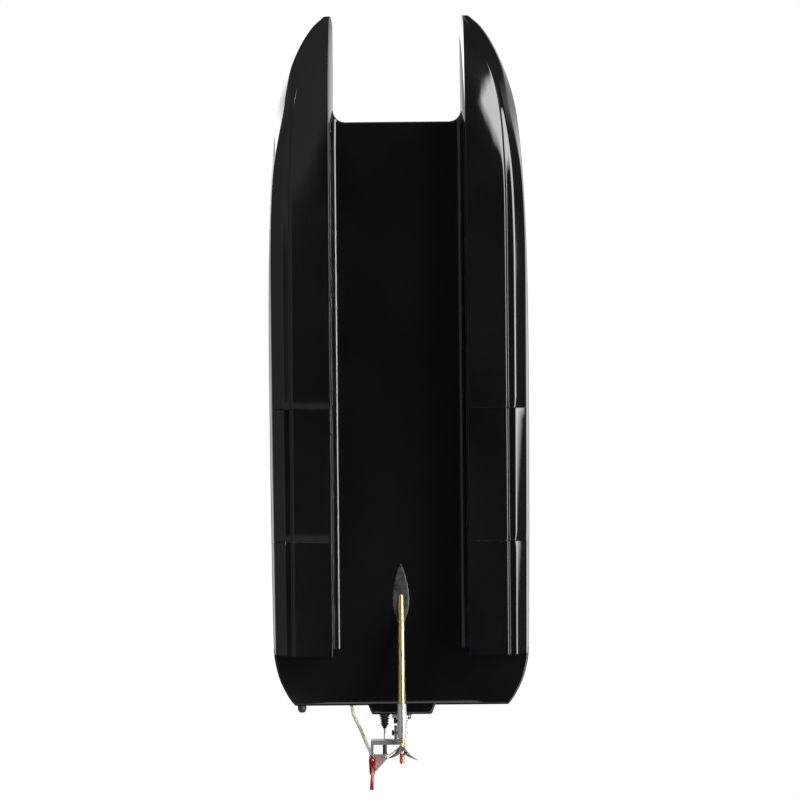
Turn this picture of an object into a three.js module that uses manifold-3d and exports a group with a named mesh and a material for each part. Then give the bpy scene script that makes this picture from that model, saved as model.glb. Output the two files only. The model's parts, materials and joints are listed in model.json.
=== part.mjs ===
// A radio-control tunnel-hull race boat with two stepped sponsons, in millimetres.
// +Z is up, the bow points along -Y and port is +X. Heights in the code are above the keel plane,
// and the boat's own group lifts them so that z = 0 is the lowest point, the tip of the rudder.
import * as THREE from 'three';
import { mergeVertices } from 'three/addons/utils/BufferGeometryUtils.js';
import Module from 'manifold-3d';

// ---- driving dimensions ----
const STERN_Y = 294;
const SPONSON_END_Y = 242;
const TUNNEL_FRONT_Y = -272;
const STEP_YS = [6.7, 134];
const KEEL_HEIGHT = 38;
const BOAT_SHIFT_Y = 6.15;
const TUNNEL_ROOF_Z = 40;
const TUNNEL_HALF = 57.4;
const TUNNEL_FILLET = 6;
const TUNNEL_FRONT_FILLET = 11.6;
const PARTING_Z = 46;
const DECK_Z = 58;
const SKIN = 2.4;
const GAP = 0.3;
const FLOOR = TUNNEL_ROOF_Z + SKIN + GAP;
const POD = { yEnd: 303, halfFront: 33.5, halfBack: 29, top: 55.5 };
const BAY = { half: 54, front: -217, back: 222, radius: 3 };
const DECK_JOINT_Y = BAY.front + BAY.radius;
const CANOPY = { half: 60, front: -226, back: 233, radius: 16, base: 59.7 };

const SHAFT_Z = 14;
const SHAFT_R = 1.6;
const TUBE_R = 3.4;
const TUBE_BORE = 2.5;
const FLEX_R = 1.9;
const STRUT = { y0: 289, y1: 321.6, r: 4.2, finHalf: 2.2 };
const DOG = { y0: 322, y1: 329.2, r: 3.1 };
const HUB = { y0: 329.5, y1: 337.2, r: 2.9 };
const NUT = { y0: 337.5, y1: 345.8, r: 3 };
const PROP = { r: 19, pitch: 54, rake: 0.42, parked: 43 };

const MOTOR_TILT = 9;
const MOTOR_START = [0, 118, 58.5];
const MOTOR = { s0: 27, s1: 85, r: 16, wall: 1.6 };
const COUPLER = { s0: 3, s1: 21, r: 5 };
const MOTOR_SHAFT_R = 2.5;

const RUDDER = { x: -28.9, y: 344, front: 348.7, back: 362.7, tip: -38, tangR: 5.2 };
const KICK = { y: RUDDER.front + RUDDER.tangR, z: 33, pinR: 1.3 };
const SHOULDER = { y0: 358.3, z: 31.5, nippleY: 360.6 };
const ARM = { y0: 325.3, y1: 329.6, z0: 22, z1: 34 };
const PIVOT_R = 1.3;
const BARREL_R = 2.7;
const YOKE = { half: 3.3, halfBack: 2.6, slotHalf: 1.8, z0: 18.3, z1: 37.7, back: 357.5 };
const TILLER = { reach: 12, z0: 38, z1: 39.8 };
const ROD = { z: 47, r: 0.9 };
const PIN_FIT = 0.06;
const LINK_HOLE = 2.05;
const SERVO = { y: 132, z: ROD.z + TILLER.reach, x0: -49, x1: -23, half: 10, y0: 122, y1: 162 };

const BATTERY = { half: 23, y0: -176, y1: -40, z0: 45, z1: 72 };
const ESC = { half: 30, y0: -22, y1: 20, z1: 58 };
const HOSE_R = 1.7;
const LEAD_R = 1.6;

// ---- materials ----
const paint = (color, roughness, metalness = 0) =>
  new THREE.MeshStandardMaterial({ color, roughness, metalness });
const BLACK_GELCOAT = paint(0x121314, 0.15);
const WHITE_GELCOAT = paint(0xe9e9e6, 0.2);
const RED_GELCOAT = paint(0xc8321e, 0.2);
const RUBBER = paint(0x151515, 0.8);
const BRASS = paint(0xd9c27a, 0.3, 0.9);
const ALUMINIUM = paint(0xb9bcc0, 0.35, 0.9);
const DARK_ALUMINIUM = paint(0x6d6e72, 0.4, 0.9);
const STEEL = paint(0xa0a2a6, 0.3, 0.95);
const BLACK_STEEL = paint(0x202124, 0.45, 0.8);
const COPPER = paint(0xa5633f, 0.35, 0.9);
const RED_ANODISE = paint(0xa51f1c, 0.35, 0.7);
const BLACK_PLASTIC = paint(0x1b1c1e, 0.6);
const GREY_PLASTIC = paint(0x55585c, 0.6);
const BLUE_SHRINK = paint(0x1f3f7a, 0.4);
const SILICONE = paint(0xd9d6c8, 0.45);
const FOAM = paint(0xe8e6da, 0.9);
const RESIN = paint(0x3a3b3c, 0.4);
const WEBBING = paint(0x2a2b2d, 0.9);
const PLY = paint(0xb98f5e, 0.7);

// ---- booleans ----
const wasm = await Module();
wasm.setup();

function solidOf(geometry) {
  const bare = geometry.clone();
  bare.deleteAttribute('normal');
  bare.deleteAttribute('uv');
  const merged = mergeVertices(bare, 1e-4);
  const corners = Array.from(merged.index.array);
  const kept = corners.filter((_, i) => {
    const [a, b, c] = corners.slice(i - (i % 3), i - (i % 3) + 3);
    return a !== b && b !== c && a !== c;
  });
  return new wasm.Manifold(new wasm.Mesh({
    numProp: 3,
    vertProperties: merged.attributes.position.array,
    triVerts: new Uint32Array(kept),
  }));
}

function geometryOf(solid) {
  const mesh = solid.getMesh();
  const geometry = new THREE.BufferGeometry();
  geometry.setAttribute('position', new THREE.BufferAttribute(mesh.vertProperties, 3));
  geometry.setIndex(new THREE.BufferAttribute(mesh.triVerts, 1));
  geometry.computeVertexNormals();
  return geometry;
}

const cut = (body, ...tools) =>
  geometryOf(tools.reduce((left, tool) => left.subtract(solidOf(tool)), solidOf(body)));
const join = (body, ...others) =>
  geometryOf(others.reduce((whole, other) => whole.add(solidOf(other)), solidOf(body)));

// ---- shape helpers ----
const V = (x, y, z) => new THREE.Vector3(x, y, z);

function box(x0, x1, y0, y1, z0, z1) {
  const geometry = new THREE.BoxGeometry(x1 - x0, y1 - y0, z1 - z0);
  return geometry.translate((x0 + x1) / 2, (y0 + y1) / 2, (z0 + z1) / 2);
}

function rod(from, to, r, sides = 16) {
  const along = to.clone().sub(from);
  const geometry = new THREE.CylinderGeometry(r, r, along.length(), sides);
  const turn = new THREE.Quaternion().setFromUnitVectors(V(0, 1, 0), along.normalize());
  const middle = from.clone().add(to).multiplyScalar(0.5);
  return geometry.applyQuaternion(turn).translate(middle.x, middle.y, middle.z);
}

const rodY = (x, z, y0, y1, r, sides = 16) => rod(V(x, y0, z), V(x, y1, z), r, sides);
const rodX = (y, z, x0, x1, r, sides = 16) => rod(V(x0, y, z), V(x1, y, z), r, sides);
const rodZ = (x, y, z0, z1, r, sides = 16) => rod(V(x, y, z0), V(x, y, z1), r, sides);

// A disc, ring or turned piece about +Y, from [radius, y] points.
function turned(points, sides = 20) {
  return new THREE.LatheGeometry(points.map(([r, y]) => new THREE.Vector2(r, y)), sides);
}

function ring(rOut, rIn, y0, y1, sides = 20) {
  return turned([[rIn, y0], [rOut, y0], [rOut, y1], [rIn, y1], [rIn, y0]], sides);
}

// A plate cut in plan, from z0 to z1.
function plan(shape, z0, z1, curveSegments = 6) {
  const options = { depth: z1 - z0, bevelEnabled: false, curveSegments };
  return new THREE.ExtrudeGeometry(shape, options).translate(0, 0, z0);
}

// A plate cut in the XZ plane, from y0 to y1.
function crossPlate(shape, y0, y1, curveSegments = 6) {
  const geometry = plan(shape, 0, y1 - y0, curveSegments);
  return geometry.rotateX(Math.PI / 2).translate(0, y1, 0);
}

// A plate cut in the YZ plane, from x0 to x1.
function sidePlate(shape, x0, x1, curveSegments = 6) {
  const geometry = plan(shape, 0, x1 - x0, curveSegments);
  geometry.rotateX(Math.PI / 2).rotateZ(Math.PI / 2);
  return geometry.translate(x0, 0, 0);
}

const polygon = (points) => new THREE.Shape(points.map(([a, b]) => new THREE.Vector2(a, b)));

function roundedRect(x0, x1, y0, y1, r) {
  const shape = new THREE.Shape();
  shape.moveTo(x0 + r, y0);
  shape.absarc(x1 - r, y0 + r, r, -Math.PI / 2, 0);
  shape.absarc(x1 - r, y1 - r, r, 0, Math.PI / 2);
  shape.absarc(x0 + r, y1 - r, r, Math.PI / 2, Math.PI);
  shape.absarc(x0 + r, y0 + r, r, Math.PI, Math.PI * 1.5);
  return shape;
}

function circle(r, x = 0, y = 0) {
  const shape = new THREE.Shape();
  shape.absarc(x, y, r, 0, Math.PI * 2);
  return shape;
}

// A round tube along a smooth curve through the points, solid where there is no bore.
function tube(points, r, bore = 0, sides = 8, steps = 24) {
  const section = circle(r);
  if (bore > 0) section.holes.push(circle(bore));
  const path = new THREE.CatmullRomCurve3(points.map((p) => V(...p)), false, 'centripetal');
  const options = { steps, extrudePath: path, curveSegments: sides };
  return new THREE.ExtrudeGeometry(section, options);
}

// A closed body through sections along Y: each is a closed loop of [x, z] points at its own y.
function loft(stations) {
  const flat = ({ points }) => points.map(([x, z]) => new THREE.Vector2(x, z));
  const loops = THREE.ShapeUtils.isClockWise(flat(stations[0]))
    ? stations.map(({ y, points }) => ({ y, points: points.toReversed() })) : stations;
  const count = loops[0].points.length;
  const positions = loops.flatMap(({ y, points }) => points.flatMap(([x, z]) => [x, y, z]));
  const index = [];
  for (let s = 0; s + 1 < loops.length; s += 1) {
    for (let i = 0; i < count; i += 1) {
      const a = s * count + i;
      const b = s * count + ((i + 1) % count);
      index.push(a, a + count, b, b, a + count, b + count);
    }
  }
  const cap = (loop) => THREE.ShapeUtils.triangulateShape(flat(loop), []);
  const last = (loops.length - 1) * count;
  cap(loops[0]).forEach(([a, b, c]) => index.push(a, b, c));
  cap(loops.at(-1)).forEach(([a, b, c]) => index.push(last + a, last + c, last + b));
  const geometry = new THREE.BufferGeometry();
  geometry.setAttribute('position', new THREE.Float32BufferAttribute(positions, 3));
  geometry.setIndex(index);
  geometry.computeVertexNormals();
  return geometry;
}

const mirrored = (stations) =>
  stations.map(({ y, points }) => ({ y, points: points.map(([x, z]) => [-x, z]) }));

// A value that runs smoothly along the boat through a few [y, value] points.
function fair(points) {
  const slopes = points.map((point, i) => {
    const [y0, v0] = points[Math.max(i - 1, 0)];
    const [y1, v1] = points[Math.min(i + 1, points.length - 1)];
    return (v1 - v0) / (y1 - y0);
  });
  return (y) => {
    let i = 0;
    while (i < points.length - 2 && y > points[i + 1][0]) i += 1;
    const [y0, v0] = points[i];
    const [y1, v1] = points[i + 1];
    const span = y1 - y0;
    const t = THREE.MathUtils.clamp((y - y0) / span, 0, 1);
    const rise = t * t * (3 - 2 * t);
    const lead = t * (1 - t) * (1 - t) * span * slopes[i];
    const trail = t * t * (1 - t) * span * slopes[i + 1];
    return v0 + (v1 - v0) * rise + lead - trail;
  };
}

// ---- the hull's lines ----
const sheerX = fair([[-375, 71], [-365, 82.5], [-347, 94.5], [-318, 107.2], [-283, 116.4],
  [-217, 122.8], [-119, 126.2], [27, 126.5], [242, 124.4], [256, 122.5], [271, 118.1],
  [287, 109.8], [294, 104]]);
const innerX = fair([[-375, 63.4], [-366, 61.8], [-280, 61.8], [-240, 62.4], [242, 62.4]]);
const keelX = fair([[-375, 64.6], [-366, 65.1], [242, 65.2]]);
const keelZ = fair([[-375, 43.6], [-370.5, 38], [-360, 30.5], [-340, 21.5], [-310, 13],
  [-270, 6], [-220, 1.8], [-170, 0.2], [-130, 0], [242, 0]]);
const creaseX = fair([[-375, 66], [-365, 71], [-345, 79.5], [-312, 92.5], [-275, 99.5],
  [-230, 102.2], [-190, 103], [242, 103]]);
const creaseZ = fair([[-375, 44.2], [-365, 38], [-345, 30.5], [-312, 22], [-275, 15.5],
  [-230, 10], [-190, 7.4], [-140, 6.5], [242, 6.5]]);
const chineX = fair([[-375, 69], [-365, 80.5], [-347, 92.5], [-325, 102], [-305, 105.5],
  [-286, 108.2], [-247, 115.8], [-220, 119.6], [-170, 122], [-110, 122.4], [242, 120.5]]);
const chineZ = fair([[-375, 45], [-365, 43.5], [-347, 41], [-325, 38], [-300, 33.5],
  [-280, 29.5], [-245, 24], [-200, 19.5], [-150, 17.3], [-100, 17], [242, 17]]);
const deckTopZ = fair([[-375, 49.5], [-362, 52.5], [-335, 55.5], [-300, 57.3], [-260, DECK_Z],
  [STERN_Y, DECK_Z]]);
const noseZ = fair([[-284, 50], [-272, 50.5], [-252, 55.5], [-232, DECK_Z], [-200, DECK_Z]]);
const strakeDepth = (y) => THREE.MathUtils.smoothstep(y, -318, -272);

// Each running surface starts a step higher than the last one ended and slopes back down.
function stepLift(y) {
  if (y < STEP_YS[0]) return 0;
  const start = y < STEP_YS[1] ? STEP_YS[0] : STEP_YS[1];
  return 2.4 - (1.5 * (y - start)) / 127;
}

const HULL_YS = [-375, -370.5, -360, -344, -325, -304, -281, -256, -228, -190, -145, -100,
  STEP_YS[0] - 0.1, STEP_YS[0] + 0.1, STEP_YS[1] - 0.1, STEP_YS[1] + 0.1, SPONSON_END_Y];

function sponsonSection(y) {
  const lift = stepLift(y);
  const depth = strakeDepth(y);
  const crease = new THREE.Vector2(creaseX(y), creaseZ(y) + lift);
  const chine = new THREE.Vector2(chineX(y), chineZ(y));
  const lip = crease.clone().lerp(chine, 0.07).add(new THREE.Vector2(0, 1.4 * depth));
  const edge = crease.clone().lerp(chine, 0.42).add(new THREE.Vector2(0, -1.3 * depth));
  return [
    [innerX(y), PARTING_Z],
    [keelX(y), keelZ(y) + lift],
    [crease.x, crease.y],
    [lip.x, lip.y],
    [edge.x, edge.y],
    [chine.x, chine.y],
    [sheerX(y) - 0.8, PARTING_Z],
  ];
}

function sponsonHollow(y) {
  const lift = stepLift(y);
  return [
    [innerX(y) + SKIN, PARTING_Z + 1],
    [keelX(y) + SKIN, keelZ(y) + lift + SKIN + 0.3],
    [creaseX(y) - 0.4, creaseZ(y) + lift + SKIN + 0.4],
    [chineX(y) - SKIN - 0.6, chineZ(y) + 1.4],
    [sheerX(y) - 0.8 - SKIN, PARTING_Z + 1],
  ];
}

const sections = (ys, section) => ys.map((y) => ({ y, points: section(y) }));

// The open water between the sponson noses, with the corners where the tunnel roof begins.
function bowOpening() {
  const shape = new THREE.Shape();
  const half = innerX(TUNNEL_FRONT_Y);
  const r = TUNNEL_FRONT_FILLET;
  shape.moveTo(-half, -300);
  shape.lineTo(half, -300);
  shape.absarc(half - r, TUNNEL_FRONT_Y - r, r, 0, Math.PI / 2);
  shape.absarc(-half + r, TUNNEL_FRONT_Y - r, r, Math.PI / 2, Math.PI);
  return plan(shape, 20, 80);
}

function tunnelSlab() {
  const shape = new THREE.Shape();
  const wall = TUNNEL_HALF + TUNNEL_FILLET;
  const low = TUNNEL_ROOF_Z - TUNNEL_FILLET;
  shape.moveTo(66, low);
  shape.lineTo(66, PARTING_Z);
  shape.lineTo(-66, PARTING_Z);
  shape.lineTo(-66, low);
  shape.lineTo(-wall, low);
  shape.absarc(-TUNNEL_HALF, low, TUNNEL_FILLET, Math.PI, Math.PI / 2, true);
  shape.absarc(TUNNEL_HALF, low, TUNNEL_FILLET, Math.PI / 2, 0, true);
  const front = TUNNEL_FRONT_Y - TUNNEL_FRONT_FILLET - 0.4;
  return crossPlate(shape, front, SPONSON_END_Y, 4);
}

function sternOutline(inset, yFrom, yTo) {
  const side = [yFrom, 256, 264, 271, 279, 287].map((y) => [sheerX(y) - 0.8 - inset, y]);
  const corner = [[sheerX(yTo) - 0.8 - inset, yTo]];
  const port = [...side, ...corner];
  const starboard = port.map(([x, y]) => [-x, y]).reverse();
  return polygon([...port, ...starboard]);
}

function hullBottom() {
  const port = sections(HULL_YS, sponsonSection);
  const hollowYs = HULL_YS.filter((y) => y > -350 && y < SPONSON_END_Y);
  const hollow = sections([-350, ...hollowYs, SPONSON_END_Y - SKIN], sponsonHollow);
  const transom = polygon([[-102, TUNNEL_ROOF_Z], [102, TUNNEL_ROOF_Z], [100, 55.5], [-100, 55.5]]);
  const pod = polygon([[-POD.halfFront, STERN_Y - 1], [POD.halfFront, STERN_Y - 1],
    [POD.halfBack, POD.yEnd], [-POD.halfBack, POD.yEnd]]);
  const outer = join(
    loft(port), loft(mirrored(port)), tunnelSlab(),
    plan(sternOutline(0, SPONSON_END_Y - 4, STERN_Y), TUNNEL_ROOF_Z, PARTING_Z),
    crossPlate(transom, STERN_Y - SKIN, STERN_Y), plan(pod, TUNNEL_ROOF_Z, POD.top));
  return cut(
    outer, loft(hollow), loft(mirrored(hollow)), bowOpening(),
    box(-67, 67, TUNNEL_FRONT_Y + 4, STERN_Y - SKIN, TUNNEL_ROOF_Z + SKIN, 60),
    plan(sternOutline(SKIN, SPONSON_END_Y - 6, STERN_Y - SKIN), TUNNEL_ROOF_Z + SKIN, 60),
    box(-26, 26, STERN_Y - 4, POD.yEnd - SKIN, TUNNEL_ROOF_Z + SKIN, POD.top - SKIN),
    rodY(RUDDER.x + TILLER.reach, ROD.z, 290, 310, 1.6),
    rodY(DRAIN.x, DRAIN.z, 290, 296, 2.6), rodY(INLET.x, INLET.z, 290, 296, 1.8),
    tube(TUBE_ROUTE, TUBE_R + GAP, 0, 8, 16));
}

// ---- deck and canopy ----
const DECK_YS = [-284, -272, -260, -246, -232, -200, -145, -80, 27, 150, 242, 256, 264, 271, 279,
  287, STERN_Y];
const BOW_YS = [-375, -370.5, -360, -344, -325, -304, -281, -270];

function bowDeckSection(inset, base) {
  return (y) => {
    const low = innerX(y) + inset;
    const high = sheerX(y) - inset;
    const width = high - low;
    const bevel = Math.min(12, 0.3 * width);
    const top = deckTopZ(y) - inset;
    const shoulder = base + 0.55 * (top - base);
    return [
      [low, base], [high - 0.8, base], [high, base + 0.35 * (top - base)],
      [high - 0.25 * bevel, base + 0.7 * (top - base)], [high - bevel, top],
      [low + 0.3 * bevel, top], [low + 0.05 * bevel, shoulder],
    ];
  };
}

function deckSection(inset, base) {
  return (y) => {
    const side = sheerX(y) - inset;
    const top = deckTopZ(y) - inset;
    const centre = noseZ(y) - inset;
    const half = [
      [side - 0.8, base], [side, base + 0.35 * (top - base)],
      [side - 3, base + 0.7 * (top - base)], [side - 12, top], [68, top], [60, centre],
    ];
    return [...half, ...half.map(([x, z]) => [-x, z]).reverse()];
  };
}

function deck() {
  const base = PARTING_Z + GAP;
  const bow = sections(BOW_YS, bowDeckSection(0, base));
  const bowHollow = sections([-352, ...BOW_YS.filter((y) => y > -350)],
    bowDeckSection(SKIN, base - 2));
  const middle = sections(DECK_YS, deckSection(0, base));
  const hollowYs = [-268, ...DECK_YS.filter((y) => y > -264 && y < 292), STERN_Y - SKIN - GAP];
  const middleHollow = sections(hollowYs, deckSection(SKIN, base - 2));
  const whole = join(loft(bow), loft(mirrored(bow)), loft(middle));
  const opening = roundedRect(-BAY.half, BAY.half, BAY.front, BAY.back, BAY.radius);
  return cut(
    whole, bowOpening(), loft(bowHollow), loft(mirrored(bowHollow)), loft(middleHollow),
    box(-130, 130, STERN_Y - SKIN - GAP, STERN_Y + 2, 40, POD.top + GAP),
    plan(opening, 40, 80), rodZ(OUTLET.x, OUTLET.y, 40, 70, 2.3));
}

// The nose moulding meets the main deck on a joint at the front of the bay.
const deckFront = () => cut(deck(), box(-140, 140, DECK_JOINT_Y, 320, 30, 80));
const deckMain = () => cut(deck(), box(-140, 140, -400, DECK_JOINT_Y + GAP, 30, 80));

const bumpH = fair([[-206, 5], [-190, 14], [-168, 22], [-120, 28], [-60, 35], [0, 42], [50, 45],
  [100, 42], [150, 35], [200, 21], [224, 5]]);
const bumpW = fair([[-206, 18], [-192, 28], [-165, 39], [-110, 49], [-30, 54], [110, 55.5], [175, 54],
  [208, 48], [224, 35]]);

// Half of a superellipse, so the cockpit has full shoulders and a round top.
function bumpSection(inset, base) {
  return (y) => {
    const w = bumpW(y) - inset;
    const h = bumpH(y) - inset;
    const steps = 10;
    const power = 2 / 2.6;
    const arch = Array.from({ length: steps + 1 }, (_, i) => {
      const a = (Math.PI * i) / steps;
      const x = Math.sign(Math.cos(a)) * Math.abs(Math.cos(a)) ** power * w;
      return [i * 2 === steps ? 0 : x, CANOPY.base + 1 + Math.sin(a) ** power * h];
    });
    return [[w, base], ...arch, [-w, base]];
  };
}

function canopy() {
  const flange = roundedRect(-CANOPY.half, CANOPY.half, CANOPY.front, CANOPY.back, CANOPY.radius);
  const ys = [-206, -198, -184, -160, -120, -70, -10, 50, 110, 155, 190, 213, 224];
  const hollowYs = [-200, ...ys.filter((y) => y > -198 && y < 213), 218];
  const shell = join(plan(flange, CANOPY.base, CANOPY.base + 2.2),
    loft(sections(ys, bumpSection(0, CANOPY.base))));
  return cut(shell, loft(sections(hollowYs, bumpSection(SKIN, CANOPY.base - 2))));
}

function canopySeal() {
  const outer = roundedRect(-58.5, 58.5, -223, 229.5, 15);
  outer.holes.push(roundedRect(-55.5, 55.5, -218, 225, 5));
  return plan(outer, DECK_Z + 0.1, CANOPY.base - 0.1);
}

// ---- fittings in the transom and deck ----
const DRAIN = { x: -97, z: 47.5, r: 4.2 };
const INLET = { x: -47.7, z: 48 };
const OUTLET = { x: 92, y: 150 };

const drainPlug = () => turned([[0, -4], [2.2, -4], [2.2, 0.3], [DRAIN.r, 0.3], [DRAIN.r, 4.4],
  [3.6, 6], [2.2, 7], [0, 7.3]], 20).translate(DRAIN.x, STERN_Y, DRAIN.z);

// A barbed hose nipple about +Y, its flange at y = 0.
const nipple = () => turned([[0, -6], [1.4, -6], [1.4, 0.3], [3, 0.3], [3, 1.6], [1.2, 1.6],
  [1.2, 6], [0, 6]], 12);

const stern = (geometry, x, z) => geometry.translate(x, STERN_Y, z);

// ---- drive line ----
const TUBE_ROUTE = [[0, 117, 58.7], [0, 150, 51.8], [0, 183, 43.3], [0, 215, 34.5], [0, 245, 25],
  [0, 268, 17.4], [0, 281, 14.4], [0, STRUT.y0 - GAP, SHAFT_Z]];
const CLAMP = [{ y: 309.5, z: 43, x: -5, head: 3 }, { y: 319, z: 29, x: -7.9, head: 2 }];
const clampHoles = () => CLAMP.map(({ y, z }) => rodX(y, z, -12, 9, 1.4));

function tubeFairing() {
  const half = fair([[157, 0.8], [170, 5], [186, 7.8], [200, 7.4], [220, 0.8]]);
  const drop = fair([[157, 0.2], [170, 0.6], [186, 0.8], [200, 0.8], [220, 0.2]]);
  const section = (y) => {
    const top = TUNNEL_ROOF_Z - GAP;
    const arch = Array.from({ length: 7 }, (_, i) => {
      const a = (Math.PI * i) / 6;
      return [Math.cos(a) * half(y), top - 0.4 - Math.sin(a) * drop(y)];
    });
    return [[half(y), top], ...arch, [-half(y), top]];
  };
  const ys = [157, 163, 170, 178, 186, 194, 202, 211, 220];
  return cut(loft(sections(ys, section)), tube(TUBE_ROUTE, TUBE_R + GAP, 0, 8, 16));
}

function strut() {
  const fin = sidePlate(polygon([[300, SHAFT_Z], [320.5, SHAFT_Z], [321.5, 34], [318, 50],
    [308, 50], [307, 38], [303, 28]]), -STRUT.finHalf, STRUT.finHalf);
  const barrel = rodY(0, SHAFT_Z, STRUT.y0, STRUT.y1, STRUT.r, 24);
  return cut(join(barrel, fin), rodY(0, SHAFT_Z, 280, 330, 2.6), ...clampHoles());
}

function strutBracket() {
  const cheek = polygon([[305, 53], [316, 53], [323.5, 40], [323.5, 24], [315, 24], [305, 38]]);
  const foot = polygon([[-9.7, 41], [9.7, 41], [9.7, 54], [-9.7, 54]]);
  const whole = join(
    crossPlate(foot, POD.yEnd + GAP, POD.yEnd + 3.3),
    sidePlate(cheek, -4.7, -2.5), sidePlate(cheek, 2.5, 4.7));
  return cut(whole, ...clampHoles());
}

const clampScrew = ({ y, z, x, head }) =>
  join(rodX(y, z, x - head, x, 2.6, 12), rodX(y, z, x - 0.5, 5.2, 1.3, 12));

// One blade: thin foils on a helix from root to tip, raked back towards the stern. The loft runs
// along the radius, which then becomes +X, with the shaft's line along +Y.
function blade(degrees) {
  const chord = fair([[2, 7.5], [7, 11.5], [12, 13.5], [16, 11], [19, 3.5]]);
  const thick = fair([[2, 1.9], [10, 1.2], [19, 0.5]]);
  const foilAt = (r) => {
    const helix = Math.atan2(PROP.pitch, 2 * Math.PI * r);
    const c = chord(r) / 2;
    const t = thick(r) / 2;
    const foil = [[-c, 0], [-0.4 * c, t], [0.5 * c, t], [c, 0.3 * t], [c, -0.3 * t],
      [-0.2 * c, -0.5 * t]];
    return foil.map(([u, v]) => [
      u * Math.cos(helix) - v * Math.sin(helix),
      u * Math.sin(helix) + v * Math.cos(helix) + PROP.rake * (r - 2),
    ]);
  };
  const geometry = loft(sections([2, 5, 9, 13, 16, 18, PROP.r], foilAt));
  geometry.applyMatrix4(new THREE.Matrix4().set(0, 1, 0, 0, 0, 0, 1, 0, 1, 0, 0, 0, 0, 0, 0, 1));
  geometry.rotateY(THREE.MathUtils.degToRad(degrees));
  return geometry.translate(0, (HUB.y0 + HUB.y1) / 2, SHAFT_Z);
}

const shaftBore = () => rodY(0, SHAFT_Z, 280, 360, SHAFT_R + PIN_FIT);
const onShaft = (geometry) => geometry.translate(0, 0, SHAFT_Z);

function propeller() {
  const hub = onShaft(turned([[0, HUB.y0], [HUB.r, HUB.y0], [HUB.r, HUB.y1 - 1],
    [HUB.r - 0.5, HUB.y1], [0, HUB.y1]]));
  return cut(join(hub, blade(PROP.parked), blade(PROP.parked + 180)), shaftBore());
}

const propNut = () => cut(onShaft(rodY(0, 0, NUT.y0, NUT.y1, NUT.r, 6)), shaftBore());
const driveDog = () => cut(onShaft(turned([[0, DOG.y0], [DOG.r, DOG.y0], [DOG.r, DOG.y1 - 2],
  [DOG.r - 0.6, DOG.y1], [0, DOG.y1]])), shaftBore());

// ---- motor, built along its own tilted axis with the bow at -y ----
function motorStator() {
  const shape = new THREE.Shape();
  shape.absarc(0, 0, MOTOR.r - MOTOR.wall - GAP, 0, Math.PI * 2);
  const teeth = 12;
  const slots = Array.from({ length: teeth * 4 }, (_, i) => {
    const a = (Math.PI * 2 * (i + 0.5)) / (teeth * 4);
    const r = i % 4 < 2 ? 9.8 : 12.4;
    return new THREE.Vector2(Math.cos(a) * r, Math.sin(a) * r);
  });
  shape.holes.push(new THREE.Path(slots));
  return crossPlate(shape, -74, -38);
}

const motorRotor = () => turned([[0, -87.8], [MOTOR_SHAFT_R, -87.8], [MOTOR_SHAFT_R, -75],
  [9.3, -75], [9.3, -37], [MOTOR_SHAFT_R, -37], [MOTOR_SHAFT_R, -12], [0, -12]]);

function waterJacket() {
  const shell = ring(18.2, MOTOR.r + GAP, -70, -44, 28);
  return join(shell, rodX(-64, 0, -23, -17.5, 1.2, 8), rodX(-50, 0, 17.5, 23, 1.2, 8));
}

function motorMount() {
  const tilt = THREE.MathUtils.degToRad(MOTOR_TILT);
  const [, startY, startZ] = MOTOR_START;
  const at = (s, z) => [startY - s * Math.cos(tilt) + z * Math.sin(tilt),
    startZ + s * Math.sin(tilt) + z * Math.cos(tilt)];
  const side = polygon([[78, FLOOR], [97, FLOOR], [97, FLOOR + 2.5], at(23.7, -16.5),
    at(23.7, 15), at(26.7, 15), at(26.7, -17), [78, FLOOR + 2.5]]);
  const [boreY, boreZ] = at(15, 0);
  const [farY, farZ] = at(35, 0);
  return cut(sidePlate(side, -19, 19), rod(V(0, boreY, boreZ), V(0, farY, farZ), 4.5));
}

// ---- steering ----
const atPivot = (shape, z0, z1) => plan(shape, z0, z1).translate(RUDDER.x, RUDDER.y, 0);
const pivotBore = () => rodZ(RUDDER.x, RUDDER.y, 0, 60, PIVOT_R + PIN_FIT);
const BALL_X = RUDDER.x + TILLER.reach;

function rudderBracket() {
  const { x, y } = RUDDER;
  const { y0, y1, z0, z1 } = ARM;
  const whole = join(
    box(x - 1.3, -2.6, y0, y1, z0, z1), box(-7.6, -5, 312.5, y0 + 0.5, z0, z1),
    box(x - 1.3, x + 1.3, y1 - 0.5, y - 1.5, z0, z1), rodZ(x, y, z0, z1, BARREL_R));
  return cut(whole, pivotBore(), ...clampHoles());
}

const pivotPin = () => join(rodZ(RUDDER.x, RUDDER.y, 17.2, TILLER.z1 + 0.5, PIVOT_R),
  rodZ(RUDDER.x, RUDDER.y, TILLER.z1 + 0.3, TILLER.z1 + 1.9, 2.5));

function rudderYoke() {
  const { half, halfBack, slotHalf, z0, z1, back } = YOKE;
  const { x, y } = RUDDER;
  const shape = new THREE.Shape();
  shape.moveTo(halfBack, back - y);
  shape.lineTo(-halfBack, back - y);
  shape.absarc(0, 0, half, Math.PI, Math.PI * 2);
  const slotFront = RUDDER.front - GAP;
  const room = BARREL_R + 0.35;
  return cut(
    atPivot(shape, z0, z1), rodZ(x, y, ARM.z0 - GAP, ARM.z1 + GAP, room),
    box(x - 4, x + 4, y - 8, y, ARM.z0 - GAP, ARM.z1 + GAP),
    box(x - slotHalf, x + slotHalf, slotFront, back + 2, 0, 60),
    pivotBore(), rodX(KICK.y, KICK.z, x - 9, x + 9, KICK.pinR + PIN_FIT));
}

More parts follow.
